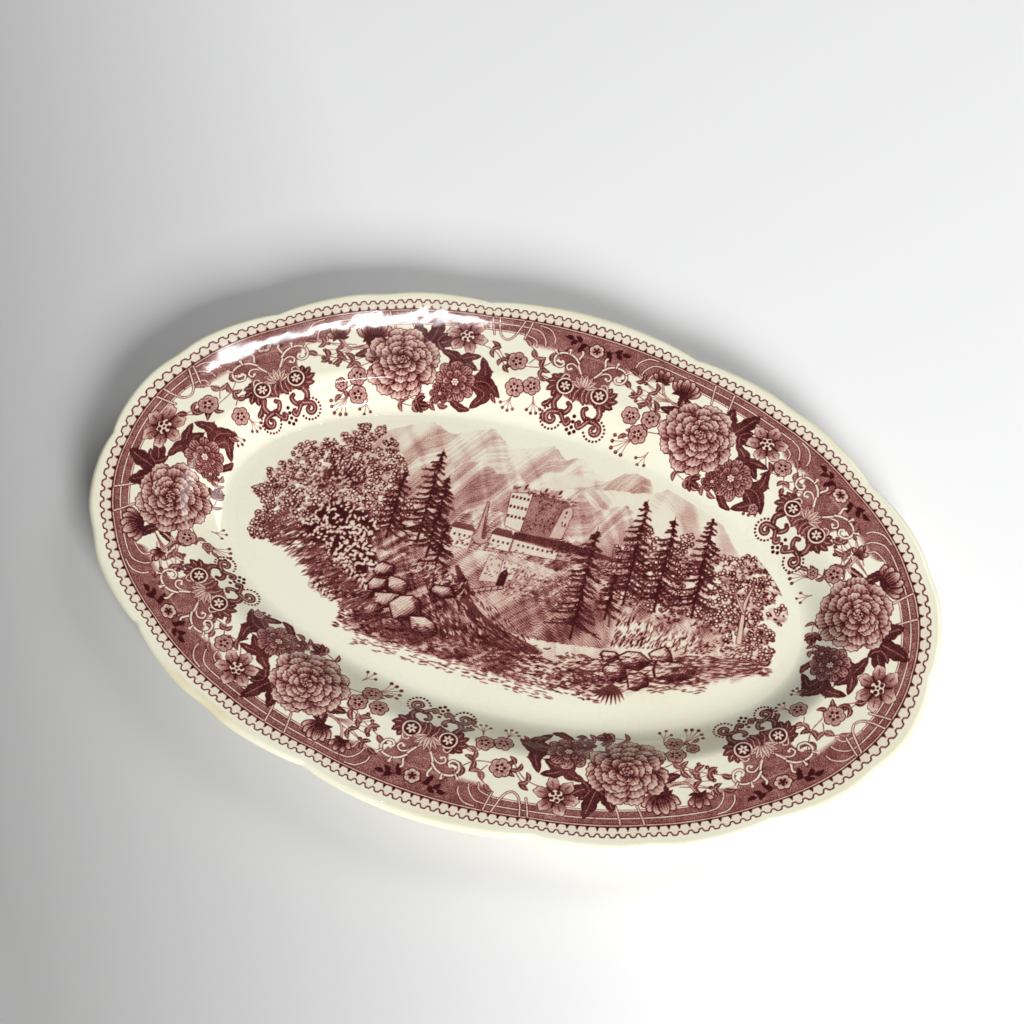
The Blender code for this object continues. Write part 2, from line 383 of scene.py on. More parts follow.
def berries(plate, x, y, turn, length, count=4, spread=1.1, radius=0.85):
    """A fan of thin curved stalks, each ending in a dark berry."""
    for share in np.linspace(-0.5, 0.5, count):
        heading = turn + share * spread
        reach = length * (1 - 0.35 * abs(share))
        tip = (x + reach * math.cos(heading), y + reach * math.sin(heading))
        early = turn + share * spread * 0.4
        middle = (x + 0.5 * reach * math.cos(early), y + 0.5 * reach * math.sin(early))
        ribbon(plate, [(x, y), middle, tip], 0.34, 0.6, steps=5)
        dots(plate, [tip], radius, 0.85)
        dots(plate, [(tip[0] - 0.15, tip[1] - 0.2)], radius * 0.3, 0.35)


print("tools ready")

# %% [markdown]
# ## Flowers
# An engraver works a big flower from the outside in, one petal over another.  Each petal here is a
# crinkled oval, pale at its lip and dark at its base, and a flower is rings of them round an open heart.
# A small flower needs less: its outline is one radius that depends on the angle, with a swell for each
# petal, and its shade is a function of the depth inside that outline.


# %% Flower tools
def petal_depth(p, q, radius, petals, phase, cut, power):
    """Depth inside a petalled outline, and how near each point is to a cleft between two petals."""
    angle = np.arctan2(q, p)
    swell = np.abs(np.sin(petals * (angle + phase) / 2))
    return radius * (1 - cut * (1 - swell ** power)) - np.hypot(p, q), swell


def petal_shade(depth, swell, fade, light, dark, cleft=0.45):
    """Dark outline, pale edge, and darker towards the flower's heart and in the clefts."""
    shade = light + (dark - light) * np.clip(depth / fade, 0, 1) ** 1.2 + cleft * np.exp(-(swell / 0.13) ** 2)
    return np.clip(np.maximum(shade, 0.92 * cover(depth - 0.3, 0.3)), 0, 1)


def petal(plate, x, y, heading, width, length, phase, light=0.08, dark=0.82, crinkles=5):
    """One petal along heading: a crinkled oval, pale at its lip, streaked and dark at its base."""
    def draw(p, q):
        angle = np.arctan2(q / width, p / length)
        lip = np.clip(np.cos(angle), 0, 1) ** 0.5
        limit = 1 + 0.055 * np.cos(2 * crinkles * angle + phase) * lip + 0.05 * np.sin(3 * angle + phase)
        away = (np.hypot(p / length, q / width) - limit) * min(width, length)
        base = np.clip(0.80 - 0.80 * p / length, 0, 1)
        streak = 0.16 * np.sin(q / width * 15 + 2 * phase) * np.clip(base * 1.6, 0, 1)
        shade = light + (dark - light) * base ** 1.1 + streak
        return [(cover(away - 0.30), 0.95), (cover(away + 0.10), np.clip(shade, 0.04, 1))]

    stamp(plate, x, y, max(width, length) * 1.25, draw, heading)


def petal_ring(plate, x, y, radius, count, width, length, draw_from, start=0.0, jitter=0.12, **looks):
    """A ring of petals round (x, y), each nudged a little, each over the one before."""
    for k in range(count):
        turn = start + (k + draw_from.uniform(-jitter, jitter) * 2) * 2 * np.pi / count
        reach = radius * draw_from.uniform(0.95, 1.05)
        size = draw_from.uniform(0.90, 1.10)
        at = (x + reach * math.cos(turn), y + reach * math.sin(turn))
        petal(plate, *at, turn, width * size, length * size, draw_from.uniform(0, 6), **looks)


def peony(plate, x, y, size, seed):
    """Rings of crinkled petals, each over the last; the inner rings crowd towards an open heart."""
    draw_from = np.random.default_rng(seed)
    # each ring's distance out, petals, petal width and length, and shift along and across the border
    rings = (
        (0.74, 11, 0.29, 0.27, 0.0, 0.0),
        (0.57, 10, 0.27, 0.25, 0.02, -0.02),
        (0.41, 9, 0.23, 0.22, 0.03, -0.05),
        (0.27, 7, 0.19, 0.18, 0.03, -0.08),
        (0.155, 5, 0.15, 0.14, 0.03, -0.11),
    )
    stamp(plate, x, y, size, lambda p, q: [(cover(np.hypot(p, q) - 0.72 * size), 0.8)])
    for number, (radius, count, width, length, off_x, off_y) in enumerate(rings):
        petal_ring(
            plate, x + off_x * size, y + off_y * size, radius * size, count, width * size, length * size,
            draw_from, 0.5 * number, 0.13, light=0.12, dark=0.92, crinkles=6 - number // 2,
        )
    hx, hy = x + 0.03 * size, y - 0.13 * size
    dots(plate, [(hx, hy)], 0.085 * size, 0.92)
    for turn in (0.2, 1.1, 2.0, 2.9):
        at = (hx + 0.10 * size * math.cos(turn), hy + 0.09 * size * math.sin(turn))
        petal(plate, *at, turn, 0.075 * size, 0.065 * size, turn, light=0.05, dark=0.6, crinkles=3)
    dots(plate, ring_of(hx, hy - 0.02 * size, 0.05 * size, 5, 0.3), 0.34, 0.06)


def blossom(plate, x, y, size, petals=6, turn=0.0, fill=0.42, heart=0.12):
    """A small round flower: pink notched petals in a dark outline, and a ring of large dark dots."""
    def draw(p, q):
        depth, swell = petal_depth(p, q, size, petals, 0.3, 0.20, 0.6)
        radius = np.hypot(p, q)
        shade = petal_shade(depth, swell, size * 0.5, fill - 0.14, fill + 0.12, 0.4)
        shade = np.where(radius < 0.56 * size, heart + 0.25, shade)
        return [
            (cover(-depth - 0.25), 0.95),
            (cover(-depth + 0.05), shade),
            (cover(radius - 0.16 * size), heart),
        ]

    stamp(plate, x, y, size * 1.15, draw, turn)
    dots(plate, ring_of(x, y, size * 0.36, 5, turn), size * 0.15, 0.98)
    dots(plate, [(x, y)], size * 0.08, 0.9)


def star_flower(plate, x, y, size, petals=6, turn=0.0):
    """Broad pointed petals, pale at the tip, shaded to a stippled heart."""
    def draw(p, q):
        angle = np.arctan2(q, p)
        radius = np.hypot(p, q)
        half = np.abs(((angle * petals / (2 * np.pi)) % 1.0) - 0.5) * 2
        outline = size * (1.0 - 0.42 * half ** 1.6) + 0.35 * np.sin(angle * petals * 3)
        depth = outline - radius
        shade = 0.20 + 0.62 * np.clip(1.35 - radius / (0.66 * size), 0, 1) + 0.25 * half ** 4
        shade = np.maximum(shade, 0.95 * cover(depth - 0.34, 0.3))
        vein = 0.35 * np.exp(-(half / 0.09) ** 2) * (radius > 0.5 * size) * (radius < 0.8 * size)
        shade = np.minimum(shade + vein + 0.6 * cover((1 - half) * radius * np.pi / petals - 0.3), 1)
        return [
            (cover(-depth), shade),
            (cover(radius - (0.30 + 0.10 * (1 - half)) * size), 0.95),
            (cover(radius - (0.25 + 0.10 * (1 - half)) * size), 0.06),
        ]

    stamp(plate, x, y, size * 1.15, draw, turn)
    dots(plate, ring_of(x, y, size * 0.20, 5, turn), 0.085 * size, 0.95)
    dots(plate, [(x, y)], 0.06 * size, 0.9)


def speckled_flower(plate, x, y, size, seed, petals=9):
    """Two rows of blunt mid-tone petals, outlined and speckled, round a bare dotted eye."""
    draw_from = np.random.default_rng(seed)
    stamp(plate, x, y, size, lambda p, q: [(cover(np.hypot(p, q) - 0.7 * size), 0.9)])
    start = draw_from.uniform(0, 6)
    rows = (
        (0.72, petals, 0.29, 0.27, start, {"light": 0.36, "dark": 0.66}),
        (0.38, 7, 0.20, 0.20, start + 0.3, {"light": 0.30, "dark": 0.70}),
    )
    for radius, count, width, length, first, look in rows:
        at = (x, y, radius * size)
        petal_ring(plate, *at, count, width * size, length * size, draw_from, first, 0.04, crinkles=0, **look)
    for k in range(petals):
        turn = start + k * 2 * np.pi / petals
        middle = (x + 0.78 * size * math.cos(turn), y + 0.78 * size * math.sin(turn))
        dots(plate, ring_of(*middle, 0.13 * size, 4, turn), 0.36, 0.97)
    dots(plate, ring_of(x, y, 0.42 * size, 7, start + 0.3), 0.40, 0.97)
    stamp(plate, x, y, size * 0.3, lambda p, q: [(cover(np.hypot(p, q) - 0.17 * size), 0.9)])
    dots(plate, ring_of(x, y, size * 0.12, 6), 0.055 * size, 0.06)
    dots(plate, [(x, y)], 0.05 * size, 0.06)


def bud(plate, x, y, size, turn=-1.57, petals=5):
    """An opening flower from the side: cupped petals fanned from a dark base, the middle one on top."""
    for share in sorted(np.linspace(-1, 1, petals), key=lambda s: -abs(s)):
        heading = turn + share * 1.0
        reach = size * (0.62 - 0.10 * abs(share))
        at = (x + reach * math.cos(heading), y + reach * math.sin(heading))
        width, length = size * 0.25, size * 0.42
        petal(plate, *at, heading, width, length, share + 1.0, light=0.14, dark=0.80, crinkles=2)
    dots(plate, [(x, y)], size * 0.2, 0.95)
    for side in (-1, 1):
        leaf(plate, x, y, turn + side * 1.9, size * 0.6, size * 0.24, 0.9, core=None)


def dark_cluster(plate, x, y, turn, size, leaves=3, ink=0.88):
    """Dark toothed leaves spread from one stalk."""
    for share in np.linspace(-1, 1, leaves):
        heading = turn + share * 0.85
        length = size * (1 - 0.15 * abs(share))
        leaf(plate, x, y, heading, length, size * 0.42, ink, toothed_leaf, bend=0.12 * share, core=0.45)


# %% [markdown]
# ## The border: lace, band and cartouches
# The border is one pattern that goes round twice, so it is engraved once and rubbed down twice.
# Along it x runs clockwise and y inwards from the lip, over the curve of the ware, so that the lace,
# the lined band and the scrolls keep their true size on the rim and down the cavetto.

# %% The border plate
ENGRAVED = 42.0                       # the plate's y where its x is true to scale
PRINTED = 40.0                        # the same line on the ware: its distance in from the lip
COLUMNS, ROWS_FROM, ROWS_TO = 2700, 6.4, 69.0


def distance_table():
    """Distance over the face from the lip's edge for finely spaced insets."""
    inset = np.linspace(0, 76, 4000)
    fall = np.diff(face_height(np.maximum(inset, RIM_START)))
    return inset, np.concatenate(([0.0], np.cumsum(np.hypot(np.diff(inset), fall))))


FACE_INSET, FACE_DISTANCE = distance_table()
reference_inset = np.interp(PRINTED, FACE_DISTANCE, FACE_INSET)
REFERENCE_RUN = run_of_oval(HALF_LENGTH - reference_inset, HALF_WIDTH - reference_inset)
REPEAT = 429.17
STEP = 2 * REPEAT / COLUMNS
SCALE = REFERENCE_RUN[-1] / (2 * REPEAT)
border = Plate(0.0, REPEAT, ROWS_FROM, ROWS_TO, STEP, joined=True)
CARTOUCHES = (64.0, 219.7, 351.7)      # where each stands along the repeat
PEONIES = (127.2, 282.2, 406.2)
WAVES, WAVE_LINE, WAVE_SWING, LACE_FOOT = 107, 8.70, 0.85, 12.6
LINES = (13.3, 16.7, 20.5)            # the band's bare lines
BAND_TONE, HATCHES = 0.60, 560
print(f"print scale {SCALE:.4f}, repeat {REPEAT:.1f} mm, plate {border.ink.shape}, step {STEP:.3f} mm")


def nearest_cartouche(x):
    """Signed distance along the border to the nearest cartouche."""
    away = np.stack([(x - k + REPEAT / 2) % REPEAT - REPEAT / 2 for k in CARTOUCHES])
    return np.take_along_axis(away, np.abs(away).argmin(axis=0)[None], axis=0)[0]


def lace_and_band(plate):
    """A dark wave line, dark wedges under its hollows, and the band that deepens at each cartouche.

    The wave is a cosine flattened by a tanh; the band's foot sinks along a quarter of an ellipse.
    """
    place, x, y = plate.window(0, REPEAT - STEP, ROWS_FROM, ROWS_TO)
    x, y = np.broadcast_arrays(x, y)
    pitch = REPEAT / WAVES
    turn = 2 * np.pi * (x / pitch % 1.0 - 0.5)
    bend = np.tanh(1.5 * (np.cos(turn) + 0.30))
    slope = WAVE_SWING * 1.5 * (1 - bend ** 2) * np.abs(np.sin(turn)) * 2 * np.pi / pitch
    edge = y - (WAVE_LINE - WAVE_SWING * bend)
    plate.lay(place, cover(-edge) * cover(y - LACE_FOOT), 0.07)
    plate.lay(place, cover(np.abs(edge) / np.hypot(1, slope) - 0.26), 1.0)
    from_hollow = (np.pi - np.abs(turn)) * pitch / (2 * np.pi)
    wedge = from_hollow - 0.82 * ((y - 10.4) / 2.2).clip(0, 1)
    plate.lay(place, cover(wedge * 0.92) * cover(10.5 - y) * cover(y - 12.8), 1.0)
    away = np.abs(nearest_cartouche(x))
    sink = np.sqrt(np.clip(1 - ((away - 28.0) / 6.0).clip(0, 1) ** 2, 0, 1))
    foot = LINES[2] + 5.2 * sink
    hatch = 0.05 * np.sin(2 * np.pi * x / (REPEAT / HATCHES))
    plate.lay(place, cover(y - foot, 0.4 + 2.6 * sink) * cover(LACE_FOOT - y), BAND_TONE + hatch)
    plate.lay(place, cover(np.abs(y - 12.72) - 0.30), 0.98)
    plate.lay(place, cover(np.abs(y - LINES[0]) - 0.24), 0.12)
    plate.lay(place, cover(np.abs(y - LINES[0] - 0.52) - 0.15), 0.95)


def bar(plate, points, edge=0.25, steps=7):
    """A bare stroke between two dark lines."""
    ribbon(plate, points, 0.62, 0.06, edge=edge, edge_ink=0.95, steps=steps)


def band_lines(plate):
    """The band's inner lines: level along the border, and curled inwards beside each cartouche."""
    levels = (LINES[0] + 1.2, LINES[1], LINES[2])
    hooks = ((20.0, 22.0), (24.0, 24.6), (28.0, 26.2))
    for k in CARTOUCHES:
        following = min((c - k) % REPEAT for c in CARTOUCHES if c != k)
        for number, (level, (hook, sag)) in enumerate(zip(levels, hooks)):
            start, end = k + hook, k + (following - hook)
            rise = [(start, sag), (start + 0.8, sag - 3.2), (start + 4.0, level + 0.9), (start + 8.5, level)]
            fall = [(end - 8.5, level), (end - 4.0, level + 0.9), (end - 0.8, sag - 3.2), (end, sag)]
            if number == 0:
                bar(plate, rise)
                bar(plate, fall)
                continue
            middle = [(s, level) for s in np.linspace(start + 12, end - 12, 5)]
            for part in (rise, [rise[-1]] + middle[:3], middle[2:] + [fall[0]], fall):
                bar(plate, part, steps=4)


def tie(plate, x, lean):
    """A short double bar across the band."""
    bar(plate, [(x, 13.6), (x + lean * 0.4, 18.0), (x + lean, 23.2)], 0.26)


def loop(plate, x):
    """A U-shaped loop of the same bar, hanging under the band."""
    shape = ((-5.2, 13.4), (-4.6, 18.5), (-3.0, 23.4), (0, 25.2), (3.0, 22.8), (5.4, 17.0), (6.6, 13.4))
    bar(plate, [(x + dx, y) for dx, y in shape], 0.26)


def wheel(plate, x, y, side):
    """A bare ring with a hook, round a dark disc that holds a six-petalled rosette."""
    hook = [(x + side * dx, y - dy) for dx, dy in ((3.2, 3.2), (1.6, 6.2), (-0.6, 5.6), (-0.2, 4.4))]
    ribbon(plate, hook, 0.7, 0.1, edge=0.25, edge_ink=0.88)

    def draw(p, q):
        radius = np.hypot(p, q)
        depth, _ = petal_depth(p, q, 2.6, 6, 0.0, 0.75, 0.8)
        return [
            (cover(radius - 4.75), 0.88),
            (cover(radius - 4.45), 0.08),
            (cover(radius - 3.6), 0.95),
            (cover(-depth), 0.1),
            (cover(radius - 0.55), 0.9),
        ]

    stamp(plate, x, y, 5.4, draw)


def bead_spiral(plate, x, y, side):
    """A curled mid-tone stroke with a ring of beads round it."""
    turn = np.linspace(-0.5 * np.pi, 1.35 * np.pi, 9)
    radius = np.linspace(3.3, 1.2, 9)
    curl = [(x - side * 5.0, y - 4.2)]
    curl += [(x + side * r * math.cos(a), y + r * math.sin(a)) for a, r in zip(turn, radius)]
    ribbon(plate, curl, 2.2, 0.74, form=lambda u: 1 - 0.3 * u, edge=0.34, edge_ink=1.0, core=0.2)
    beads = ring_of(x, y, 5.7, 14, -0.55 * np.pi, side * 1.5 * np.pi)
    dots(plate, beads, 0.62, 0.93)


def cartouche(plate, k):
    """Two C-scrolls over a palmette, two wheels, toothed leaves, and bead spirals below."""
    def draw_field(p, q):
        half = np.interp(q, (-20, -13, -9, -5, -2, 2, 8, 11), (17.5, 16.5, 15.0, 12.0, 11.5, 12.0, 11.0, 5.0))
        return [(cover(np.abs(p) - half, 0.9) * cover(q - 10.0, 1.0) * cover(-13.5 - q, 1.5), BAND_TONE)]

    def draw_heart(p, q):
        half = 5.6 * np.sin(np.pi * ((q + 14.0) / 14.5).clip(0, 1) ** 0.62) ** 0.8
        away = np.abs(p) - half
        below = cover(-13.0 - q)
        return [
            (cover(np.abs(away) - 0.16) * below * cover(q - 0.5), 0.92),
            (cover(away + 0.2) * below, 0.60),
        ]

    stamp(plate, k, 39.0, 24.0, draw_field)
    stamp(plate, k, 38.5, 16.0, draw_heart)
    for side in (-1, 1):
        def across(points):
            return [(k + side * px, py) for px, py in points]

        def heading(turn):
            return turn if side > 0 else np.pi - turn

        ribbon(plate, across([(3.5, 19.5), (8.0, 18.6), (12.5, 17.6)]), 0.4, 0.95)
        for x, y, turn in (
            (5.5, 18.8, 0.9), (8.4, 18.2, -0.7), (10.0, 18.2, 0.8), (12.2, 17.6, -0.1), (6.4, 20.6, 1.1),
        ):
            leaf(plate, k + side * x, y, heading(turn), 3.6, 1.9, 1.0, core=None)
        # toothed leaves fanned beside the wheels, then over them
        for turn, length in ((-1.0, 7.5), (-0.55, 8.8), (-0.05, 9.2), (0.45, 9.0), (0.95, 8.0), (1.5, 6.5)):
            leaf(plate, k + side * 9.6, 43.6, heading(turn), length, 4.6, 0.80, toothed_leaf, edge_ink=1.0)
        for x, turn, length in ((6.4, 1.35, 6.0), (3.6, 1.45, 7.5), (1.0, 1.35, 8.5)):
            at = (k + side * x, 42.0)
            leaf(plate, *at, heading(turn), length, 3.4, 0.72, toothed_leaf, core=0.2, edge_ink=1.0)
        lower = across([
            (11.0, 49.0), (12.4, 52.5), (10.6, 56.2), (7.0, 57.0), (4.4, 55.2), (3.6, 52.6), (5.0, 51.4),
        ])
        ribbon(plate, lower, 2.4, 0.74, form=lambda u: 1.1 - 0.4 * u, edge=0.34, edge_ink=1.0, core=0.2)
        bead_spiral(plate, k + side * 12, 60.6, side)
        inner = across([(7.5, 57.2), (5.8, 59.6), (3.6, 61.8), (2.2, 60.4), (3.2, 59.0)])
        ribbon(plate, inner, 1.7, 0.72, edge=0.32, edge_ink=1.0, core=0.25)
        hook = across([(4.2, 34.6), (6.4, 31.8), (9.2, 30.6), (11.2, 32.2), (10.2, 34.4), (8.7, 33.4)])
        ribbon(plate, hook, 0.85, 0.05, edge=0.3, edge_ink=0.93)
        dots(plate, across([(8.9, 33.5)]), 0.75, 0.06)
        arm = across([(0.3, 39.4), (2.8, 35.6), (5.4, 31.6), (6.6, 27.8), (5.6, 24.2), (6.2, 22.8)])
        ribbon(plate, arm, 1.0, 0.05, edge=0.3, edge_ink=0.93)
        crest = across([
            (5.9, 29.6), (8.6, 27.0), (12.0, 25.8), (15.8, 26.4), (18.0, 29.4),
            (17.2, 32.8), (14.4, 33.8), (12.9, 32.0), (13.8, 30.6),
        ])
        ribbon(plate, crest, 1.05, 0.05, edge=0.32, edge_ink=0.93)
        dots(plate, across([(13.9, 30.7)]), 0.85, 0.06)
        for x, y, dx, dy in ((11.6, 26.0, 0.2, -2.3), (17.0, 27.6, 1.5, -1.9)):
            ribbon(plate, across([(x, y), (x + dx, y + dy)]), 0.8, 0.05, edge=0.28, edge_ink=0.93, steps=4)
            dots(plate, across([(x + dx, y + dy)]), 0.7, 0.06)
        wheel(plate, k + side * 9.0, 43.2, side)
    for turn in (-2.85, -0.3, -2.4, -0.75, -1.98, -1.16, -1.57):
        leaf(plate, k, 41.8, turn, 7.4, 2.8, 0.20, core=0.85, bend=0.0, edge_ink=1.0)
    blossom(plate, k, 20.6, 3.8, petals=6, fill=0.24, heart=0.12)
    dots(plate, [(k, 20.6)], 0.9, 0.97)
    dots(plate, [(k, 59.6), (k, 62.4), (k - 2.1, 64.2), (k + 2.1, 64.2), (k, 65.6), (k, 56.8)], 0.95, 0.98)


lace_and_band(border)
band_lines(border)
print(f"lace and band: mean ink {border.ink.mean():.3f}")

# %% [markdown]
# ## The border: bouquets
# Between two cartouches stands one bouquet.  A peony leads it, with buds before it and a star-shaped
# and a speckled flower behind; sprays, tendrils with berries and small blossoms fill up to the scrolls.
# The three bouquets share their parts and differ in their spacing, so each has its own short list.


# %% Bouquets
def bouquet(plate, x, lead, buds, left, right, seed):
    """One bouquet about the peony at x; lead is how far the companions stand behind it."""
    for dx in (5.5, -4.0):
        tie(plate, x - dx, 2.6 if dx > 0 else 2.0)
    star_x, speckled_x = x + lead, x + lead - 3.5
    # sprays and tendrils first, since the flowers cover their stalks
    spray(plate, [(x - 16, 37), (x - 24, 39.5), (x - 32, 37), (x - 41, 33.5)], 6.0, 0.72, pairs=3)
    spray(plate, [(x - 17, 42), (x - 23, 43.5), (x - 28, 39.5)], 5.2, 0.6, pairs=1)
    spray(plate, [(x - 18, 50), (x - 27, 52.5), (x - 33, 57)], 4.8, 0.7, pairs=2)
    spray(plate, [(x - 22, 31), (x - 31, 29), (x - 40, 26)], 4.8, 0.8, pairs=2)
    spray(plate, [(star_x + 8, 30), (star_x + 15, 33), (star_x + 20, 39)], 4.8, 0.75, pairs=2)
    spray(plate, [(star_x + 7, 44), (star_x + 13, 47), (star_x + 17, 55)], 4.8, 0.8, pairs=2)
    berries(plate, x - 17, 31.5, 2.95, 22, 5, 0.75, 1.0)
    berries(plate, x - 27, 56, 2.45, 15, 5, 0.9, 1.0)
    berries(plate, x - 19, 60.5, 1.9, 8.5, 3, 0.9, 0.85)
    spray(plate, [(x - 6, 60), (x + 1, 64), (x + 9, 65)], 5.4, 0.66, pairs=2)
    spray(plate, [(x + 2, 60), (x + 10, 62.2), (x + 19, 63.5)], 5.6, 0.68, pairs=2)
    dark_cluster(plate, x + 8, 63.5, 0.15, 6.5, 3, 0.9)
    dark_cluster(plate, x + 14, 31.5, -1.25, 16.0, 3)
    dark_cluster(plate, x + 17, 30.0, 0.1, 7.5, 2)
    dark_cluster(plate, x - 15, 33.5, -2.7, 10.5, 2)
    for points, width in (
        ([(speckled_x - 3, 43), (speckled_x - 1, 38.5), (speckled_x - 8, 35.0)], 6.0),
        ([(speckled_x - 2, 43), (speckled_x + 4, 38.5), (speckled_x + 11.5, 36.5)], 5.2),
        ([(speckled_x, 43), (speckled_x + 5, 41.5), (speckled_x + 10.5, 44.5)], 5.0),
        ([(speckled_x + 8, 50), (speckled_x + 15, 46.5), (speckled_x + 12.5, 37.0)], 6.6),
        ([(speckled_x + 8, 51), (speckled_x + 16, 50.0), (speckled_x + 24, 56.5)], 6.4),
        ([(speckled_x + 8, 52), (speckled_x + 16, 56.0), (speckled_x + 9, 64.0)], 7.0),
        ([(speckled_x - 4, 58), (speckled_x + 3, 64.0), (speckled_x + 9, 65.0)], 4.0),
    ):
        ribbon(plate, points, width, 0.84, form=toothed_leaf, edge=0.25, edge_ink=0.97, core=0.42)
    # the flowers
    for dx, y, size, turn, petals in buds:
        ribbon(plate, [(x - 15, 33), (x + dx + 4, y + 7), (x + dx, y)], 0.7, 0.25, edge=0.25, edge_ink=0.8)
        bud(plate, x + dx, y, size, turn, petals)
    speckled_flower(plate, speckled_x, 51.5, 11.0, seed + 5)
    speckled_flower(plate, speckled_x - 7.5, 58.0, 5.5, seed + 6, 6)
    star_flower(plate, star_x, 26.0, 10.2, 6, 0.25 * seed)
    for dx, y, size in left + right:
        blossom(plate, x + dx, y, size, 6, dx)
    peony(plate, x, 42.5, 18.8, seed)


def right_filler(plate, x, wide):
    """Sprays, tendrils and a little leaf pair between the speckled flower and the next cartouche."""
    spray(plate, [(x + 2, 35.5), (x - 5, 36.5), (x - 10, 31.5)], 5.6, 0.8, pairs=1)
    spray(plate, [(x + 4, 38), (x + 12, 36.5), (x + 18, 31), (x + 20.5, 27)], 5.6, 0.74, pairs=3)
    spray(plate, [(x + 6, 36), (x + 9, 30.5), (x + 5, 26.5)], 5.2, 0.6, pairs=1)
    berries(plate, x + 1, 54, 1.9, 8.5, 4, 1.1, 0.85)
    spray(plate, [(x + 10, 44), (x + 14, 41), (x + 18.5, 42)], 4.8, 0.66, pairs=1)
    if wide:
        berries(plate, x + 12, 52.5, 1.35, 9.0, 4, 1.0, 0.85)
        leaf(plate, x + 17, 55.5, -0.8, 6.0, 2.8, 0.88)
        leaf(plate, x + 19, 58.5, 1.2, 5.5, 2.4, 0.88)


PLACES = (
    (0, 31.0, ((-29.0, 25.5, 6.6, -1.75, 4), (-13.0, 28.0, 9.8, -1.55, 6)),
     ((-23.0, 48.5, 4.9), (-24.0, 58.0, 5.0), (-32.0, 51.5, 3.3)),
     ((57.0, 36.0, 5.0), (58.5, 50.0, 4.8), (67.0, 47.5, 4.6))),
    (1, 29.5, ((-28.0, 23.5, 6.0, -1.8, 4), (-16.5, 26.0, 8.6, -1.55, 6)),
     ((-35.0, 47.0, 4.6), (-25.0, 45.0, 4.6), (-28.0, 54.5, 5.0)),
     ((42.5, 31.0, 4.4), (45.0, 57.0, 3.0))),
    (2, 32.5, ((-11.5, 25.5, 9.0, -1.65, 6), (-27.0, 31.0, 4.6, -2.3, 3)),
     ((-23.0, 46.0, 5.0), (-30.0, 55.5, 3.2)),
     ((52.2, 35.0, 5.0), (61.0, 50.0, 4.8))),
)
for number, lead, buds, left, right in PLACES:
    x = PEONIES[number]
    right_filler(border, x + right[0][0], number != 1)
    bouquet(border, x, lead, buds, left, right, number + 3)
loop(border, CARTOUCHES[1] - 42.5)
tie(border, CARTOUCHES[1] - 32.5, -2.0)
tie(border, CARTOUCHES[1] - 51.0, 2.0)
loop(border, CARTOUCHES[0] - 37.0)
tie(border, CARTOUCHES[0] - 28.5, -2.2)
tie(border, CARTOUCHES[0] - 46.0, 2.0)
for k in CARTOUCHES:
    cartouche(border, k)
print(f"border engraved: mean ink {border.ink.mean():.3f}")

# %% [markdown]
# ## Rubbing the border down on the ware
# The tissue is laid in short lengths, which also keeps each piece light.  A point of the print is found
# by going in from the reference oval along its normal until the distance over the face is right.


# %% Border strips
def inset_at(x, y, guess):
    """Inset of the oval through (x, y), by Newton's rule on the ellipse's equation."""
    inset = np.full(x.shape, guess)
    for _ in range(12):
        p, q = HALF_LENGTH - inset, HALF_WIDTH - inset
        miss = (x / p) ** 2 + (y / q) ** 2 - 1
        inset = np.clip(inset - miss / (2 * x ** 2 / p ** 3 + 2 * y ** 2 / q ** 3), -20, HALF_WIDTH - 5)
    return inset


def border_points(lift):
    """Points of the whole border, indexed [column, row, xyz], lift above the glaze."""
    along = np.arange(COLUMNS + 1) / COLUMNS * REFERENCE_RUN[-1]
    angle = np.interp(along, REFERENCE_RUN, TURN)[:, None]
    rows = PRINTED + (ROWS_FROM + np.arange(border.rows) * STEP - ENGRAVED) * SCALE
    inset = np.interp(rows, FACE_DISTANCE, FACE_INSET)[None, :]
    a, b = HALF_LENGTH - reference_inset, HALF_WIDTH - reference_inset
    start_x, start_y = a * np.cos(angle), b * np.sin(angle)
    in_x, in_y = -np.cos(angle) / a, -np.sin(angle) / b
    size = np.hypot(in_x, in_y)
    in_x, in_y = in_x / size, in_y / size
    reach = inset - reference_inset + 0 * angle
    for _ in range(6):
        found = inset_at(start_x + in_x * reach, start_y + in_y * reach, reference_inset)
        reach = reach + inset - found
    x, y = start_x + in_x * reach, start_y + in_y * reach
    oval_angle = np.arctan2(y / (HALF_WIDTH - inset), x / (HALF_LENGTH - inset))
    height = face_height(inset) + lift * np.hypot(face_slope(inset), 1.0)
    return on_the_oval(oval_angle, inset + 0 * angle, height + 0 * angle)


def inked_piece(name, points, ink):
    """A grid piece [column, row] that carries ink as a number at each point, and a UV map of its own."""
    columns, rows = ink.shape
    faces = grid_faces(columns, rows, False)
    item = piece(name, points.reshape(-1, 3), (faces,))
    mesh = item.data
    mesh.attributes.new("ink", "FLOAT", "POINT").data.foreach_set("value", ink.ravel().astype(np.float32))
    layer = mesh.uv_layers.new(name="UVMap")
    corner = faces.ravel()
    flat = np.stack((corner // rows / (columns - 1), corner % rows / (rows - 1)), 1)
    layer.data.foreach_set("uv", flat.ravel().astype(np.float32))
    return item


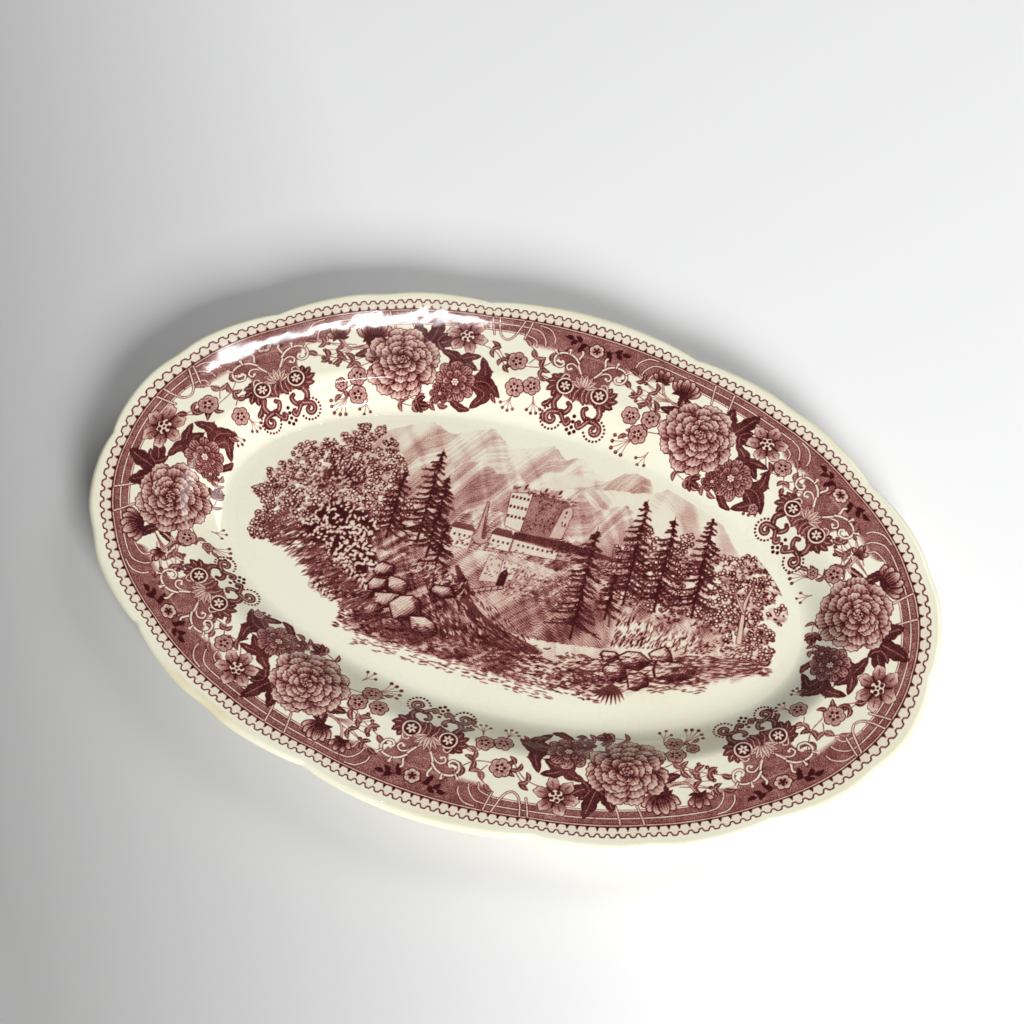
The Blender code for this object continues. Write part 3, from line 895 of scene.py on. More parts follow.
FILM_LIFT = 0.03
STRIPS = 12
LACE_ROWS = round((13.15 - ROWS_FROM) / STEP)
points = border_points(FILM_LIFT)
column = np.arange(COLUMNS + 1)
ink = border.ink[:, (COLUMNS // 2 - column) % (COLUMNS // 2)].T
prints = []
for number in range(4):
    part = slice(number * COLUMNS // 4, (number + 1) * COLUMNS // 4 + 1)
    lace = inked_piece(f"lace_edging_{number + 1}", points[part, :LACE_ROWS + 1], ink[part, :LACE_ROWS + 1])
    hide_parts("lace_edge_print")
    prints.append(lace)
for number in range(STRIPS):
    part = slice(number * COLUMNS // STRIPS, (number + 1) * COLUMNS // STRIPS + 1)
    strip = inked_piece(f"floral_border_{number + 1:02d}", points[part, LACE_ROWS:], ink[part, LACE_ROWS:])
    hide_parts(f"border_print_{number // 2 + 1}")
    prints.append(strip)

# %% [markdown]
# ## The landscape
# The well carries one engraving: mountains, a castle above a village, pines, leafy trees, rocks and
# water-worn ground.  It is a view made up for this piece.  It is built back to front like a stage set,
# and the tone comes from strokes: hatching that follows each slope, and thousands of small dabs.

# %% Landscape tools
WELL_X, WELL_Y, SCENE_STEP = 141.2, 73.5, 0.3
view = Plate(-WELL_X - 0.8, WELL_X + 0.8, -WELL_Y - 0.5, WELL_Y + 0.5, SCENE_STEP)
hand = np.random.default_rng(11)
LEAN = math.radians(5.0)


def wander(x, pitch, rough=1.0):
    """A seeded random line through x: random heights every pitch, joined by straight runs."""
    steps = np.arange(-170, 171, pitch)
    return np.interp(x, steps, hand.uniform(-rough, rough, len(steps)))


def ground(plate, outline, base, ink, slant=0.5, pitch=5.0, hatch=1.15, contrast=0.2, fade=6.0, cut=0.6):
    """Land between a skyline and a base line, its tone cut as hatching.

    Facets that lean with the slope set the tone: two seeded random lines read along slanted x, hardened
    by a tanh.  The tone sets how wide each hatching line is, and cut is how much of it the hatching carries.
    """
    outline = np.asarray(outline, dtype=float)
    base = np.asarray(base if np.ndim(base) else ((outline[0, 0], base), (outline[-1, 0], base)), dtype=float)
    x0, x1 = outline[0, 0], outline[-1, 0]
    place, x, y = plate.window(x0, x1, base[:, 1].min() - fade, outline[:, 1].max() + 1)
    x, y = np.broadcast_arrays(x, y)
    depth = np.interp(x, outline[:, 0], outline[:, 1]) + wander(x, 1.6, 0.5) - y
    facet = np.tanh(2.2 * wander(x + slant * depth, pitch))
    facet = facet + 0.5 * np.tanh(2 * wander(x - 0.7 * slant * depth + 0.2 * y, pitch * 0.6))
    streak = np.tanh(2 * wander((x + 1.25 * slant * depth) * 3, 2.2))
    tone = ink * (0.6 + 0.4 * np.clip(depth / 9, 0, 1)) + contrast * (0.7 * facet + 0.4 * streak)
    tone = np.clip(tone, 0.02, 1)
    phase = (x * 0.5 - depth * 0.9 * np.sign(slant + 1e-6)) / hatch + 0.25 * facet
    from_line = 2 * np.abs(phase % 1.0 - 0.5)
    line = np.clip(0.5 + (tone * 1.1 - from_line) / 0.7, 0, 1)
    shade = (1 - cut) * tone + cut * line * (0.35 + 0.7 * tone)
    ends = np.clip((x - x0) / 6, 0, 1) * np.clip((x1 - x) / 6, 0, 1)
    foot = np.interp(x, base[:, 0], base[:, 1]) + wander(x, 1.2, 1.5)
    low = np.clip((y - foot + fade) / fade, 0, 1)
    plate.lay(place, cover(-depth) * low * ends, np.clip(shade, 0.03, 1))


def slab(plate, corners, ink, edge=0.28, edge_ink=0.8):
    """A flat shape with straight sides: the greatest of the distances to its sides, which turn left."""
    corners = np.asarray(corners, dtype=float)
    low, high = corners.min(axis=0) - 1, corners.max(axis=0) + 1
    place, x, y = plate.window(low[0], high[0], low[1], high[1])
    away = np.full(np.broadcast_shapes(x.shape, y.shape), -99.0)
    for (ax, ay), (bx, by) in zip(corners, np.roll(corners, -1, axis=0)):
        size = math.hypot(bx - ax, by - ay)
        away = np.maximum(away, ((x - ax) * (by - ay) - (y - ay) * (bx - ax)) / size)
    if edge:
        plate.lay(place, cover(away - edge / 2), edge_ink)
    plate.lay(place, cover(away + edge / 2), ink)


def dab(plate, x, y, length, width, turn, ink):
    """One touch of the graver: a short pointed stroke."""
    reach = length / 2 + 0.4

    def draw(p, q):
        form = width / 2 * (1 - (2 * p / length).clip(-1, 1) ** 2)
        return [(cover(np.maximum(np.abs(q) - form, np.abs(p) - length / 2)), ink)]

    stamp(plate, x, y, reach, draw, turn)


def pine(plate, x, foot, top, spread, ink=0.97):
    """A spruce: a bare stem, and open tiers of boughs that sag and lift again at their tips."""
    height = top - foot
    drift = math.sin(LEAN) * height
    trunk = [(x, foot), (x - drift * 0.5, foot + height * 0.5), (x - drift, top + 1.5)]
    ribbon(plate, trunk, 1.0, ink, form=lambda u: 1.15 - 0.9 * u)
    count = max(4, int(height / 3.3))
    for k in range(count):
        share = (k + hand.uniform(0.2, 0.8)) / count
        y = foot + height * (0.12 + 0.88 * share)
        stem = x - math.sin(LEAN) * (y - foot)
        for side in (-1, 1):
            y_side = y + hand.uniform(-0.9, 0.9)
            reach = spread * (1 - share) ** 0.7 * hand.uniform(0.45, 1.15) + 1.0
            droop = -reach * hand.uniform(0.22, 0.48)
            tip = (stem + side * reach, y_side + droop + 0.12 * reach)
            bough = [(stem, y_side), (stem + side * reach * 0.6, y_side + 0.75 * droop), tip]
            ribbon(plate, bough, 1.05, ink, form=thin_tip, steps=4)
            for along in np.arange(0.10, 1.05, 0.8 / max(reach, 1.5)):
                px, py = stem + side * reach * along, y_side + droop * along ** 0.8
                length = hand.uniform(1.3, 3.1) * (1 - 0.45 * along)
                hang = -1.57 + side * hand.uniform(0.1, 1.0)
                tone = ink - hand.uniform(0, 0.2)
                dab(plate, px + side * 0.3, py - length * 0.36, length, 0.85, hang, tone)
        for _ in range(3):
            at = (stem + hand.uniform(-1, 1), y + hand.uniform(-1.4, 1.4))
            dab(plate, *at, 2.2, 1.2, hand.uniform(0, 3), ink)


def crown(plate, x, y, half_x, half_y, count):
    """Leafy foliage in clumps: small ringed leaflets on each clump's lit side, dark dashes under it."""
    tone, dark = 0.24, 0.92
    spots = []
    for _ in range(count // 7):
        turn, share = hand.uniform(0, 2 * np.pi), math.sqrt(hand.uniform(0, 1.0))
        spots.append((x + half_x * share * math.cos(turn), y + half_y * share * math.sin(turn), share))
    for cx, cy, share in sorted(spots, key=lambda spot: -spot[1] + 3 * hand.uniform()):
        size = hand.uniform(2.2, 3.8)
        phase = hand.uniform(0, 6)
        base = tone * (1.15 - share)

        def draw(p, q):
            angle = np.arctan2(q, p)
            away = np.hypot(p, q) / (1 + 0.16 * np.sin(angle * 5 + phase) + 0.10 * np.sin(angle * 9)) - size
            shade = base + 0.62 * np.clip(0.30 + 0.6 * (0.5 * p - q) / size, 0, 1) ** 1.8
            return [(cover(away, 1.2), shade)]

        stamp(plate, cx, cy, size * 1.4, draw)
        for _ in range(13):
            turn, reach = hand.uniform(0, 2 * np.pi), hand.uniform(0.3, 1.2)
            lx, ly = cx + size * reach * math.cos(turn), cy + size * reach * math.sin(turn)
            below = (math.cos(turn) * 0.6 - math.sin(turn)) * reach
            if below > 0.2 or hand.uniform() < 0.25:
                dab(plate, lx, ly, hand.uniform(1.1, 2.1), 0.95, hand.uniform(0, 3.1), dark)
            else:
                leaflet = hand.uniform(0.85, 1.25)
                stamp(plate, lx, ly, 2.0, lambda p, q: [
                    (cover(np.hypot(p, q) - leaflet), dark),
                    (cover(np.hypot(p + 0.1, q - 0.1) - leaflet + 0.5), 0.05),
                ])


def bush(plate, x, y, half_x, half_y, count, tone=0.96, light=0.05):
    """A dark thicket with pale leaves that catch the light."""
    place, px, py = plate.window(x - half_x * 1.2, x + half_x * 1.2, y - half_y * 1.2, y + half_y * 1.2)
    angle = np.arctan2(py - y, px - x)
    radius = np.hypot((px - x) / half_x, (py - y) / half_y)
    plate.lay(place, cover((radius - 0.93 - 0.07 * np.sin(angle * 9)) * min(half_x, half_y), 2.0), tone)
    for _ in range(count):
        turn, share = hand.uniform(0, 2 * np.pi), math.sqrt(hand.uniform(0, 1.0))
        cx, cy = x + half_x * share * math.cos(turn), y + half_y * share * math.sin(turn)
        length, width, turn = hand.uniform(1.7, 3.2), hand.uniform(0.95, 1.5), hand.uniform(0.2, 2.7)
        dab(plate, cx, cy, length, width, turn, light + hand.uniform(0, 0.12))
        if hand.uniform() < 0.5:
            dab(plate, cx + 0.9, cy - 1.0, 1.6, 0.7, hand.uniform(0, 3), 1.0)


def strokes(plate, x0, x1, low, high, count, turn, length, ink, spread=0.25, width=0.55):
    """A patch of like strokes between two lines, each line given by its heights at x0 and x1."""
    for _ in range(count):
        share = hand.uniform()
        x = x0 + (x1 - x0) * share
        y = hand.uniform(low[0] + (low[1] - low[0]) * share, high[0] + (high[1] - high[0]) * share)
        size = length * hand.uniform(0.6, 1.3)
        heading = turn + hand.uniform(-spread, spread)
        tone = np.clip(ink + hand.uniform(-0.15, 0.15), 0.05, 1)
        dab(plate, x, y, size, width, heading, tone)


def boulder(plate, x, y, half_x, half_y, turn=0.0, light=0.24):
    """A broken stone: seven flat sides, each with a facet of its own tone, round a paler top.

    A point lies outside by the greatest of its distances past the sides.
    """
    sides = np.sort(np.arange(7) / 7 * 2 * np.pi + hand.uniform(-0.35, 0.35, 7))
    reach = hand.uniform(0.80, 1.06, 7)
    shadow = (0.5 + 0.5 * np.cos(sides + 0.8)) ** 1.3
    tones = np.clip(light + 0.85 * shadow + hand.uniform(-0.08, 0.1, 7), 0, 1)

    def draw(p, q):
        u, v = p / half_x, q / half_y
        each = np.stack([u * math.cos(a) + v * math.sin(a) - r for a, r in zip(sides, reach)])
        number = each.argmax(axis=0)
        small = min(half_x, half_y)
        away = each.max(axis=0) * small
        top = cover((each.max(axis=0) + 0.36 + 0.05 * np.sin(7 * u + 5 * v)) * small, 1.3)
        tone = tones[number] * (1 - top) + (light + 0.45 * np.clip(0.3 + u - v, 0, 1)) * top
        hatch = 2 * np.abs((p * 0.75 - q * 0.6 + 0.35 * number) / 1.1 % 1.0 - 0.5)
        shade = 0.4 * tone + 0.6 * np.clip(0.5 + (1.15 * tone - hatch) / 0.7, 0, 1) * (0.4 + 0.6 * tone)
        return [(cover(away - 0.45), 0.98), (cover(away + 0.20), shade)]

    stamp(plate, x, y, max(half_x, half_y) * 1.3, draw, turn)


def windows(plate, x, y, columns, step, size=(0.9, 1.3), rows=1, drop=5.5):
    """Rows of small dark windows that lean with the scene."""
    wide, tall = size
    for row in range(rows):
        for k in range(columns):
            cx = x + k * step + row * drop * math.sin(LEAN)
            cy = y - row * drop + k * step * math.sin(LEAN)
            slab(plate, [(cx, cy), (cx + wide, cy), (cx + wide, cy + tall), (cx, cy + tall)], 0.92, edge=0.0)


# %% [markdown]
# ## The landscape: sky-line, castle and village
# The far mountains come first, pale and lightly hatched, because air lightens what is distant.  The castle
# and the village are straight-sided shapes, each with one lit face left bare and one face in tone.

# %% Mountains and cloud
RANGES = (
    # skyline, base, ink, slant and pitch of the facets
    (((-96, 34), (-85, 50), (-78, 56), (-62, 65), (-50, 61), (-40, 67), (-31, 71), (-20, 62), (-8, 67),
      (0, 71), (8, 65), (15, 69), (22, 64), (30, 59), (38, 67), (48, 71), (55, 61)), 24, 0.25, 0.7, 6.0),
    (((18, 50), (34, 56), (46, 58), (55, 61), (62, 66), (72, 68), (84, 62), (93, 53), (104, 41),
      (112, 30)), 16, 0.17, -0.8, 7.0),
    (((-70, 30), (-58, 40), (-44, 46), (-30, 52), (-22, 47), (-12, 50), (-4, 44), (6, 46), (20, 52),
      (30, 42), (44, 50), (60, 40)), 12, 0.34, 0.6, 5.0),
)
for outline, base, ink, slant, pitch in RANGES:
    ground(view, outline, base, ink, slant, pitch, 1.1, 0.20, 14.0, cut=0.25)


def puff(plate, x, y, size):
    """A soft pale puff of cloud, wider than it is tall."""
    def draw(p, q):
        return [(cover((np.hypot(p / 1.3, q) / size - 0.85) * size, 2.0), 0.07)]

    stamp(plate, x, y, size * 1.5, draw)


for x, y, size in ((8, 50.5, 4.0), (13, 53.5, 4.2), (18, 55.5, 3.6), (22, 56.5, 2.6)):
    puff(view, x, y, size)

# %% Castle on its hill
ground(view, ((-36, 16), (-26, 24), (-14, 27), (0, 24), (14, 27), (26, 24), (40, 20), (60, 14)),
       -6, 0.52, 0.5, 3.0, 1.2, 0.3, 5.0)
# the hall, its round end tower, and the tall front with three rows of windows
slab(view, [(-1.2, 19), (18, 20), (19.5, 39), (16, 42.5), (-1.5, 41.5)], 0.5)
strokes(view, 0, 18, (21, 22), (40, 40), 110, 1.35, 2.2, 0.66)
slab(view, [(13, 21), (19.5, 22), (20.5, 38), (18.4, 41), (15, 38)], 0.22, edge_ink=0.8)
strokes(view, 2, 19, (22, 24), (39, 40), 34, 1.57, 1.1, 0.95, 0.2, 0.7)
slab(view, [(-9.6, 20.6), (-1.0, 19.4), (-1.6, 41.8), (-12.2, 39.2)], 0.1)
windows(view, -11.0, 36.4, 5, 1.9, (1.0, 1.5), 3, 5.4)
# ragged roofs
strokes(view, -12, 20, (40, 41), (43.5, 45), 90, 0.8, 1.8, 0.78, 0.9)
for x, y in ((11, 45.5), (-6, 43.5), (4, 44.5)):
    dab(view, x, y + 1.0, 3.4, 1.3, 1.3, 0.85)

# %% Village
# the left house, the spire, the middle house, and the long low range with its dark roof
slab(view, [(-33, 1.5), (-22, 2.5), (-22.5, 12.8), (-33.6, 12)], 0.1)
slab(view, [(-34.2, 12.2), (-22, 13), (-24, 15.6), (-32.5, 15)], 0.72)
windows(view, -31.6, 8.0, 4, 2.5, (0.9, 1.3), 2, 4.2)
ribbon(view, [(-18.6, 11.0), (-19.2, 15.0), (-20.0, 21.0), (-21.0, 30.0)], 8.0, 0.30,
       form=lambda u: 1.0 - 0.9 * u ** 0.45, edge=0.3, edge_ink=0.95)
ribbon(view, [(-17.0, 11.2), (-18.4, 16.0), (-20.0, 23.0)], 2.2, 0.75, form=lambda u: 1.0 - 0.9 * u)
slab(view, [(-13.6, 6.5), (-3, 7.5), (-3.2, 15), (-13.9, 14.4)], 0.1)
slab(view, [(-14.5, 14.4), (-3, 15.2), (-5, 18.6), (-12.5, 18.2)], 0.74)
windows(view, -12.4, 10.4, 4, 2.4)
slab(view, [(-2.5, 8), (20, 10.4), (20, 15.6), (-2.7, 15)], 0.12)
windows(view, 0.0, 11.8, 8, 2.4, (0.8, 1.2))
slab(view, [(-3.5, 15), (45, 18.6), (45, 20.4), (22, 21.2), (-3.5, 18.8)], 0.82)
slab(view, [(20, 10.8), (44, 14), (44, 18.4), (20, 16)], 0.32)
# hedges below the walls
strokes(view, 16, 60, (14, 4), (24, 14), 260, 0.4, 2.2, 0.85)
strokes(view, -34, 46, (2, 8), (8, 12), 90, 0.3, 1.8, 0.8, 0.6)
print(f"skyline: mean ink {view.ink.mean():.3f}")

# %% [markdown]
# ## The landscape: middle ground
# Nearer things are darker and cut coarser.  A gate and a bridge stand on a low hill; a cliff and woods
# close the right side, and leafy trees and spruces the left, so that the eye goes to the castle.

# %% Low hill, gate and bridge
ground(view, ((-62, -2), (-48, 2), (-36, 0), (-22, 3), (-8, 5), (6, 6), (22, 5), (40, 8), (62, 6)),
       -40, 0.50, 0.7, 4.0, 1.15, 0.20, 4.0)
ground(view, ((-84, 12), (-66, 7), (-52, 3), (-42, -3)), -16, 0.6, 0.6, 2.6, 1.15, 0.3, 4.0)
for corners, ink in (
    ([(-12, -12), (-3, -10), (-4, 2), (-11, 3.5)], 0.16),
    ([(-3, -11), (5, -6), (5.5, 2.5), (-4, 3)], 0.14),
    ([(3, -14), (13, -9), (8, -1), (4, 0)], 0.3),
):
    slab(view, corners, ink, edge_ink=0.6)
# the gate's arch, then the bridge and its posts
slab(view, [(-3.2, -11.6), (0.6, -10.8), (0.8, -4.0), (-0.9, -1.6), (-3.0, -4.4)], 0.97, edge=0.0)
ribbon(view, [(-17, -20.5), (-9, -16), (0, -11.8)], 1.6, 0.3, edge=0.4, edge_ink=0.9)
for k in range(6):
    dab(view, -15.5 + k * 2.8, -20.6 + k * 1.55, 3.6, 0.6, 1.57, 0.8)
strokes(view, 2, 36, (-16, -12), (0, 4), 190, 0.5, 2.0, 0.75, 0.7)
strokes(view, 2, 36, (-16, -12), (0, 4), 90, 0.5, 1.8, 0.08, 0.7)
strokes(view, -12, 12, (-10, -6), (2, 3), 40, 1.3, 1.4, 0.8, 0.5)

# %% Cliff and far banks
ground(view, ((56, 4), (62, 0), (74, 1), (86, -1), (98, 2), (108, -2)),
       -26, 0.34, 1.6, 2.4, 1.2, 0.34, 3.0)
for k in range(26):
    y = -3.5 - hand.uniform(0, 4)
    length = hand.uniform(5, 12)
    dab(view, 60 + k * 1.75, y, length, 1.1, 1.4 + hand.uniform(-0.2, 0.2), 0.8)
strokes(view, 58, 104, (-24, -20), (-6, -4), 230, 1.35, 3.2, 0.9, 0.25)
strokes(view, 60, 102, (-14, -12), (-3, -2), 70, 1.4, 3.2, 0.08, 0.25, 0.8)
ground(view, ((96, 2), (104, -3), (114, -4), (124, -6), (131, -10)),
       -17, 0.42, 0.6, 2.6, 1.15, 0.26, 1.5)
strokes(view, 98, 130, (-18, -16), (0, -8), 150, 0.6, 2.4, 0.88, 0.7)
ground(view, ((44, 4), (54, 10), (66, 12), (84, 12), (100, 12), (112, 6)),
       -4, 0.5, 0.6, 2.6, 1.15, 0.26, 5.0)
strokes(view, 46, 108, (-4, -2), (8, 10), 170, 0.6, 2.0, 0.92, 0.8)

# %% Woods on the right
for tree in (
    (60, 22, 14, 18, 230), (80, 24, 16, 20, 280), (97, 22, 13, 19, 220), (112, 30, 13, 17, 240),
    (120, 14, 13, 17, 230), (124, -2, 9, 9, 110), (106, 6, 14, 10, 160), (80, 6, 22, 7, 170),
):
    crown(view, *tree)
# a forked bare trunk, and the leaning trunk of the great spruce
ribbon(view, [(116, -3), (114.5, 8), (113.5, 18), (115, 29)], 2.4, 0.16, thin_tip, 0.4, 0.85)
ribbon(view, [(114, 12), (109, 19), (106, 24)], 1.1, 0.2, thin_tip, 0.3, 0.85)
ribbon(view, [(55, -15), (50.5, 4), (46.5, 17), (44.5, 28)], 1.3, 0.72, thin_tip)
for tree in ((58, -2, 55, 13), (73, 0, 50, 11), (91, 2, 57, 12), (39.5, -27, 33, 12.5), (52, -12, 12, 7)):
    pine(view, *tree)

# %% Woods on the left
for tree in (
    (-88, 36, 15, 17, 300), (-107, 25, 13, 13, 220), (-74, 28, 11, 11, 170), (-118, 9, 12, 12, 200),
    (-125, 1, 7, 7, 80), (-111, -4, 13, 11, 210), (-119, -15, 10, 8, 120), (-92, 12, 17, 13, 260),
    (-68, 12, 12, 11, 190),
):
    crown(view, *tree)
strokes(view, -104, -84, (16, 18), (30, 34), 46, 1.4, 5.0, 0.95, 0.3, 0.7)
strokes(view, -122, -70, (4, 10), (26, 40), 150, 0.6, 2.2, 0.06, 1.2, 0.7)
for thicket in ((-94, 20, 10, 4, 24), (-91, 3, 8, 7, 46), (-104, 14, 6, 3, 14)):
    bush(view, *thicket, 0.9, 0.2)
for tree in ((-47, -2, 50, 16), (-62, -4, 34, 11), (-40, -8, 37, 12), (-34, -12, 12, 9)):
    pine(view, *tree)
print(f"middle ground: mean ink {view.ink.mean():.3f}")

# %% [markdown]
# ## The landscape: foreground
# The near ground frames the view from below: a dark mound with a path over it, broken stones, a thicket
# with pale leaves, and grass.  The long strokes of grass come last, since they stand before everything.

# %% Mounds and path
ground(view, ((-66, -12), (-52, -9), (-36, -13), (-22, -14), (-12, -26), (0, -32), (16, -33), (28, -37)),
       -54, 0.60, 0.8, 2.6, 1.15, 0.3, 3.0)
ground(view, ((14, -34), (30, -32), (52, -28), (76, -20), (98, -16), (128, -10)),
       ((14, -52), (58, -50), (84, -40), (110, -26), (128, -17)), 0.20, -0.3, 5.2, 1.2, 0.12, 2.5)
strokes(view, 36, 108, (-56, -34), (-44, -25), 230, 0.3, 3.2, 0.85, 0.35, 0.5)
ribbon(view, [(-24, -8), (-18, -16), (-12, -26), (-3, -32), (10, -36), (27, -39)], 5.0, 0.80,
       form=lambda u: 0.4 + 0.9 * np.sin(np.pi * u))
strokes(view, -22, 24, (-18, -42), (-10, -34), 60, -0.75, 3.6, 0.98, 0.25)
strokes(view, -20, 22, (-19, -41), (-13, -35), 26, -0.75, 2.6, 0.25, 0.25)
for count, length, ink in ((160, 2.6, 0.9), (60, 2.4, 0.1)):
    strokes(view, -46, -16, (-20, -24), (-9, -13), count, 0.9, length, ink, 0.7)
slab(view, [(-6, -44), (24, -41), (29, -37), (8, -33), (-3, -31)], 0.86, edge=0.0)
strokes(view, -6, 28, (-43, -41), (-33, -36), 60, -0.35, 4.5, 0.4, 0.1, 0.4)
for count, length, ink in ((190, 3.6, 0.95), (60, 3.0, 0.12)):
    strokes(view, -34, 0, (-44, -46), (-18, -32), count, -0.7, length, ink, 0.4)

# %% Stones, left and right
for stone in (
    (-26, -23, 6, 3.2, 0.1), (-57, -21, 5.5, 4, 0.3), (-49, -27, 6.5, 4.6, -0.2), (-57, -29, 5, 4, 0.2),
    (-51, -36, 7.5, 4.4, 0.3), (-62, -37, 6, 3.6, 0.6), (-40, -37, 8.5, 6.5, 0.1),
    (-57, -43, 6.5, 4.2, 0.4), (-29, -43, 7.5, 4.5, -0.3), (-43, -47, 6, 3.4, 0.0),
):
    boulder(view, *stone)
strokes(view, -66, -20, (-52, -52), (-44, -46), 150, 0.1, 2.6, 0.72, 0.9)
for stone in (
    (72, -28, 7.5, 4.5), (83, -22, 5.5, 4.5), (90, -28, 9.5, 5.0),
    (76, -38, 5, 4.5), (65, -36, 5.5, 5.5), (60, -30, 4, 3),
):
    boulder(view, *stone, 0.2, 0.16)

# %% Thicket and grass
for thicket in (
    (-84, -4, 18, 12, 150), (-78, -20, 17, 14, 260), (-76, -34, 15, 10, 170), (-96, -12, 10, 8, 70),
):
    bush(view, *thicket)
for _ in range(520):
    share = hand.uniform()
    x = -118 + 62 * share + hand.uniform(-5, 5)
    y = -14 - 32 * share + hand.uniform(-5, 8)
    length = hand.uniform(3.5, 7)
    dab(view, x, y, length, 0.6, 0.85 + hand.uniform(-0.35, 0.25), hand.uniform(0.55, 0.95))
strokes(view, 44, 104, (-50, -30), (-34, -16), 330, 0.38, 3.8, 0.88, 0.35)
strokes(view, 90, 134, (-32, -16), (-18, -8), 210, 0.32, 4.4, 0.8, 0.2)
strokes(view, -70, 62, (-57, -55), (-44, -40), 700, 0.05, 2.8, 0.85, 0.3)
strokes(view, -58, 40, (-63, -61), (-56, -53), 190, 0.03, 3.2, 0.75, 0.15, 0.5)
strokes(view, 0, 60, (-52, -50), (-38, -32), 300, 0.25, 2.6, 0.85, 0.6)
for turn in np.linspace(-2.6, -0.4, 9):
    frond = [(65, -43), (65 + 5 * math.cos(turn), -44 + 5 * math.sin(turn * 0.7))]
    frond += [(65 + 9 * math.cos(turn), -46 + 8 * math.sin(turn))]
    ribbon(view, frond, 1.5, 0.86, leaf_form, steps=5)
print(f"landscape engraved: mean ink {view.ink.mean():.3f}")

# %% [markdown]
# ## Laying the landscape in the well
# The well is flat, so the print is a flat oval.  Six bands share it.  In each one the columns keep their
# spacing and the rows are drawn together towards the oval's ends, so its edge is one clean curve.


# %% Landscape bands
def between(plate, x, y):
    """Ink at any point of a plate, by straight blending between its four nearest points."""
    u, v = (x - plate.x0) / plate.step, (y - plate.y0) / plate.step
    i = np.clip(np.floor(u).astype(int), 0, plate.columns - 2)
    j = np.clip(np.floor(v).astype(int), 0, plate.rows - 2)
    u, v = u - i, v - j
    near = plate.ink[j, i] * (1 - u) + plate.ink[j, i + 1] * u
    far = plate.ink[j + 1, i] * (1 - u) + plate.ink[j + 1, i + 1] * u
    return near * (1 - v) + far * v


BANDS, BAND_STEP = 6, 0.335
edges = np.linspace(-WELL_X, WELL_X, BANDS + 1)
for number in range(BANDS):
    x0, x1 = edges[number], edges[number + 1]
    nearest_middle = 0.0 if x0 < 0 < x1 else min(abs(x0), abs(x1))
    tallest = WELL_Y * math.sqrt(1 - (nearest_middle / WELL_X) ** 2)
    columns, rows = round((x1 - x0) / BAND_STEP) + 1, round(2 * tallest / BAND_STEP) + 1
    x = np.linspace(x0, x1, columns)[:, None]
    half = np.maximum(WELL_Y * np.sqrt(np.clip(1 - (x / WELL_X) ** 2, 0, 1)), 0.4)
    y = half * np.linspace(1, -1, rows)[None, :]
    x = x + 0 * y
    flat = np.stack((x, y, np.full_like(x, WELL_HEIGHT + FILM_LIFT)), -1)
    ink = between(view, x / SCALE, y / SCALE)
    band = inked_piece(f"landscape_{number + 1}", flat[::-1], ink[::-1])
    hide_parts("landscape_print")
    prints.append(band)

# %% [markdown]
# ## Glaze, ink and clay
# One glaze covers everything, so one node group makes its colour, and the bare coat and the prints share
# it; that is why no seam shows.  Ink under glaze isn't one red: thin ink is pink and only full ink is
# oxblood, so a colour ramp turns ink into colour.  Fine noise breaks the tone into stipple.

# %% The glaze group
IVORY = (0.885, 0.866, 0.705)
INKS = (
    (0.0, IVORY),
    (0.30, (0.590, 0.355, 0.300)),
    (0.60, (0.250, 0.072, 0.068)),
    (0.92, (0.046, 0.002, 0.003)),
)


def wire(tree, *pairs):
    """Join each output to each input."""
    for source, target in pairs:
        tree.links.new(source, target)


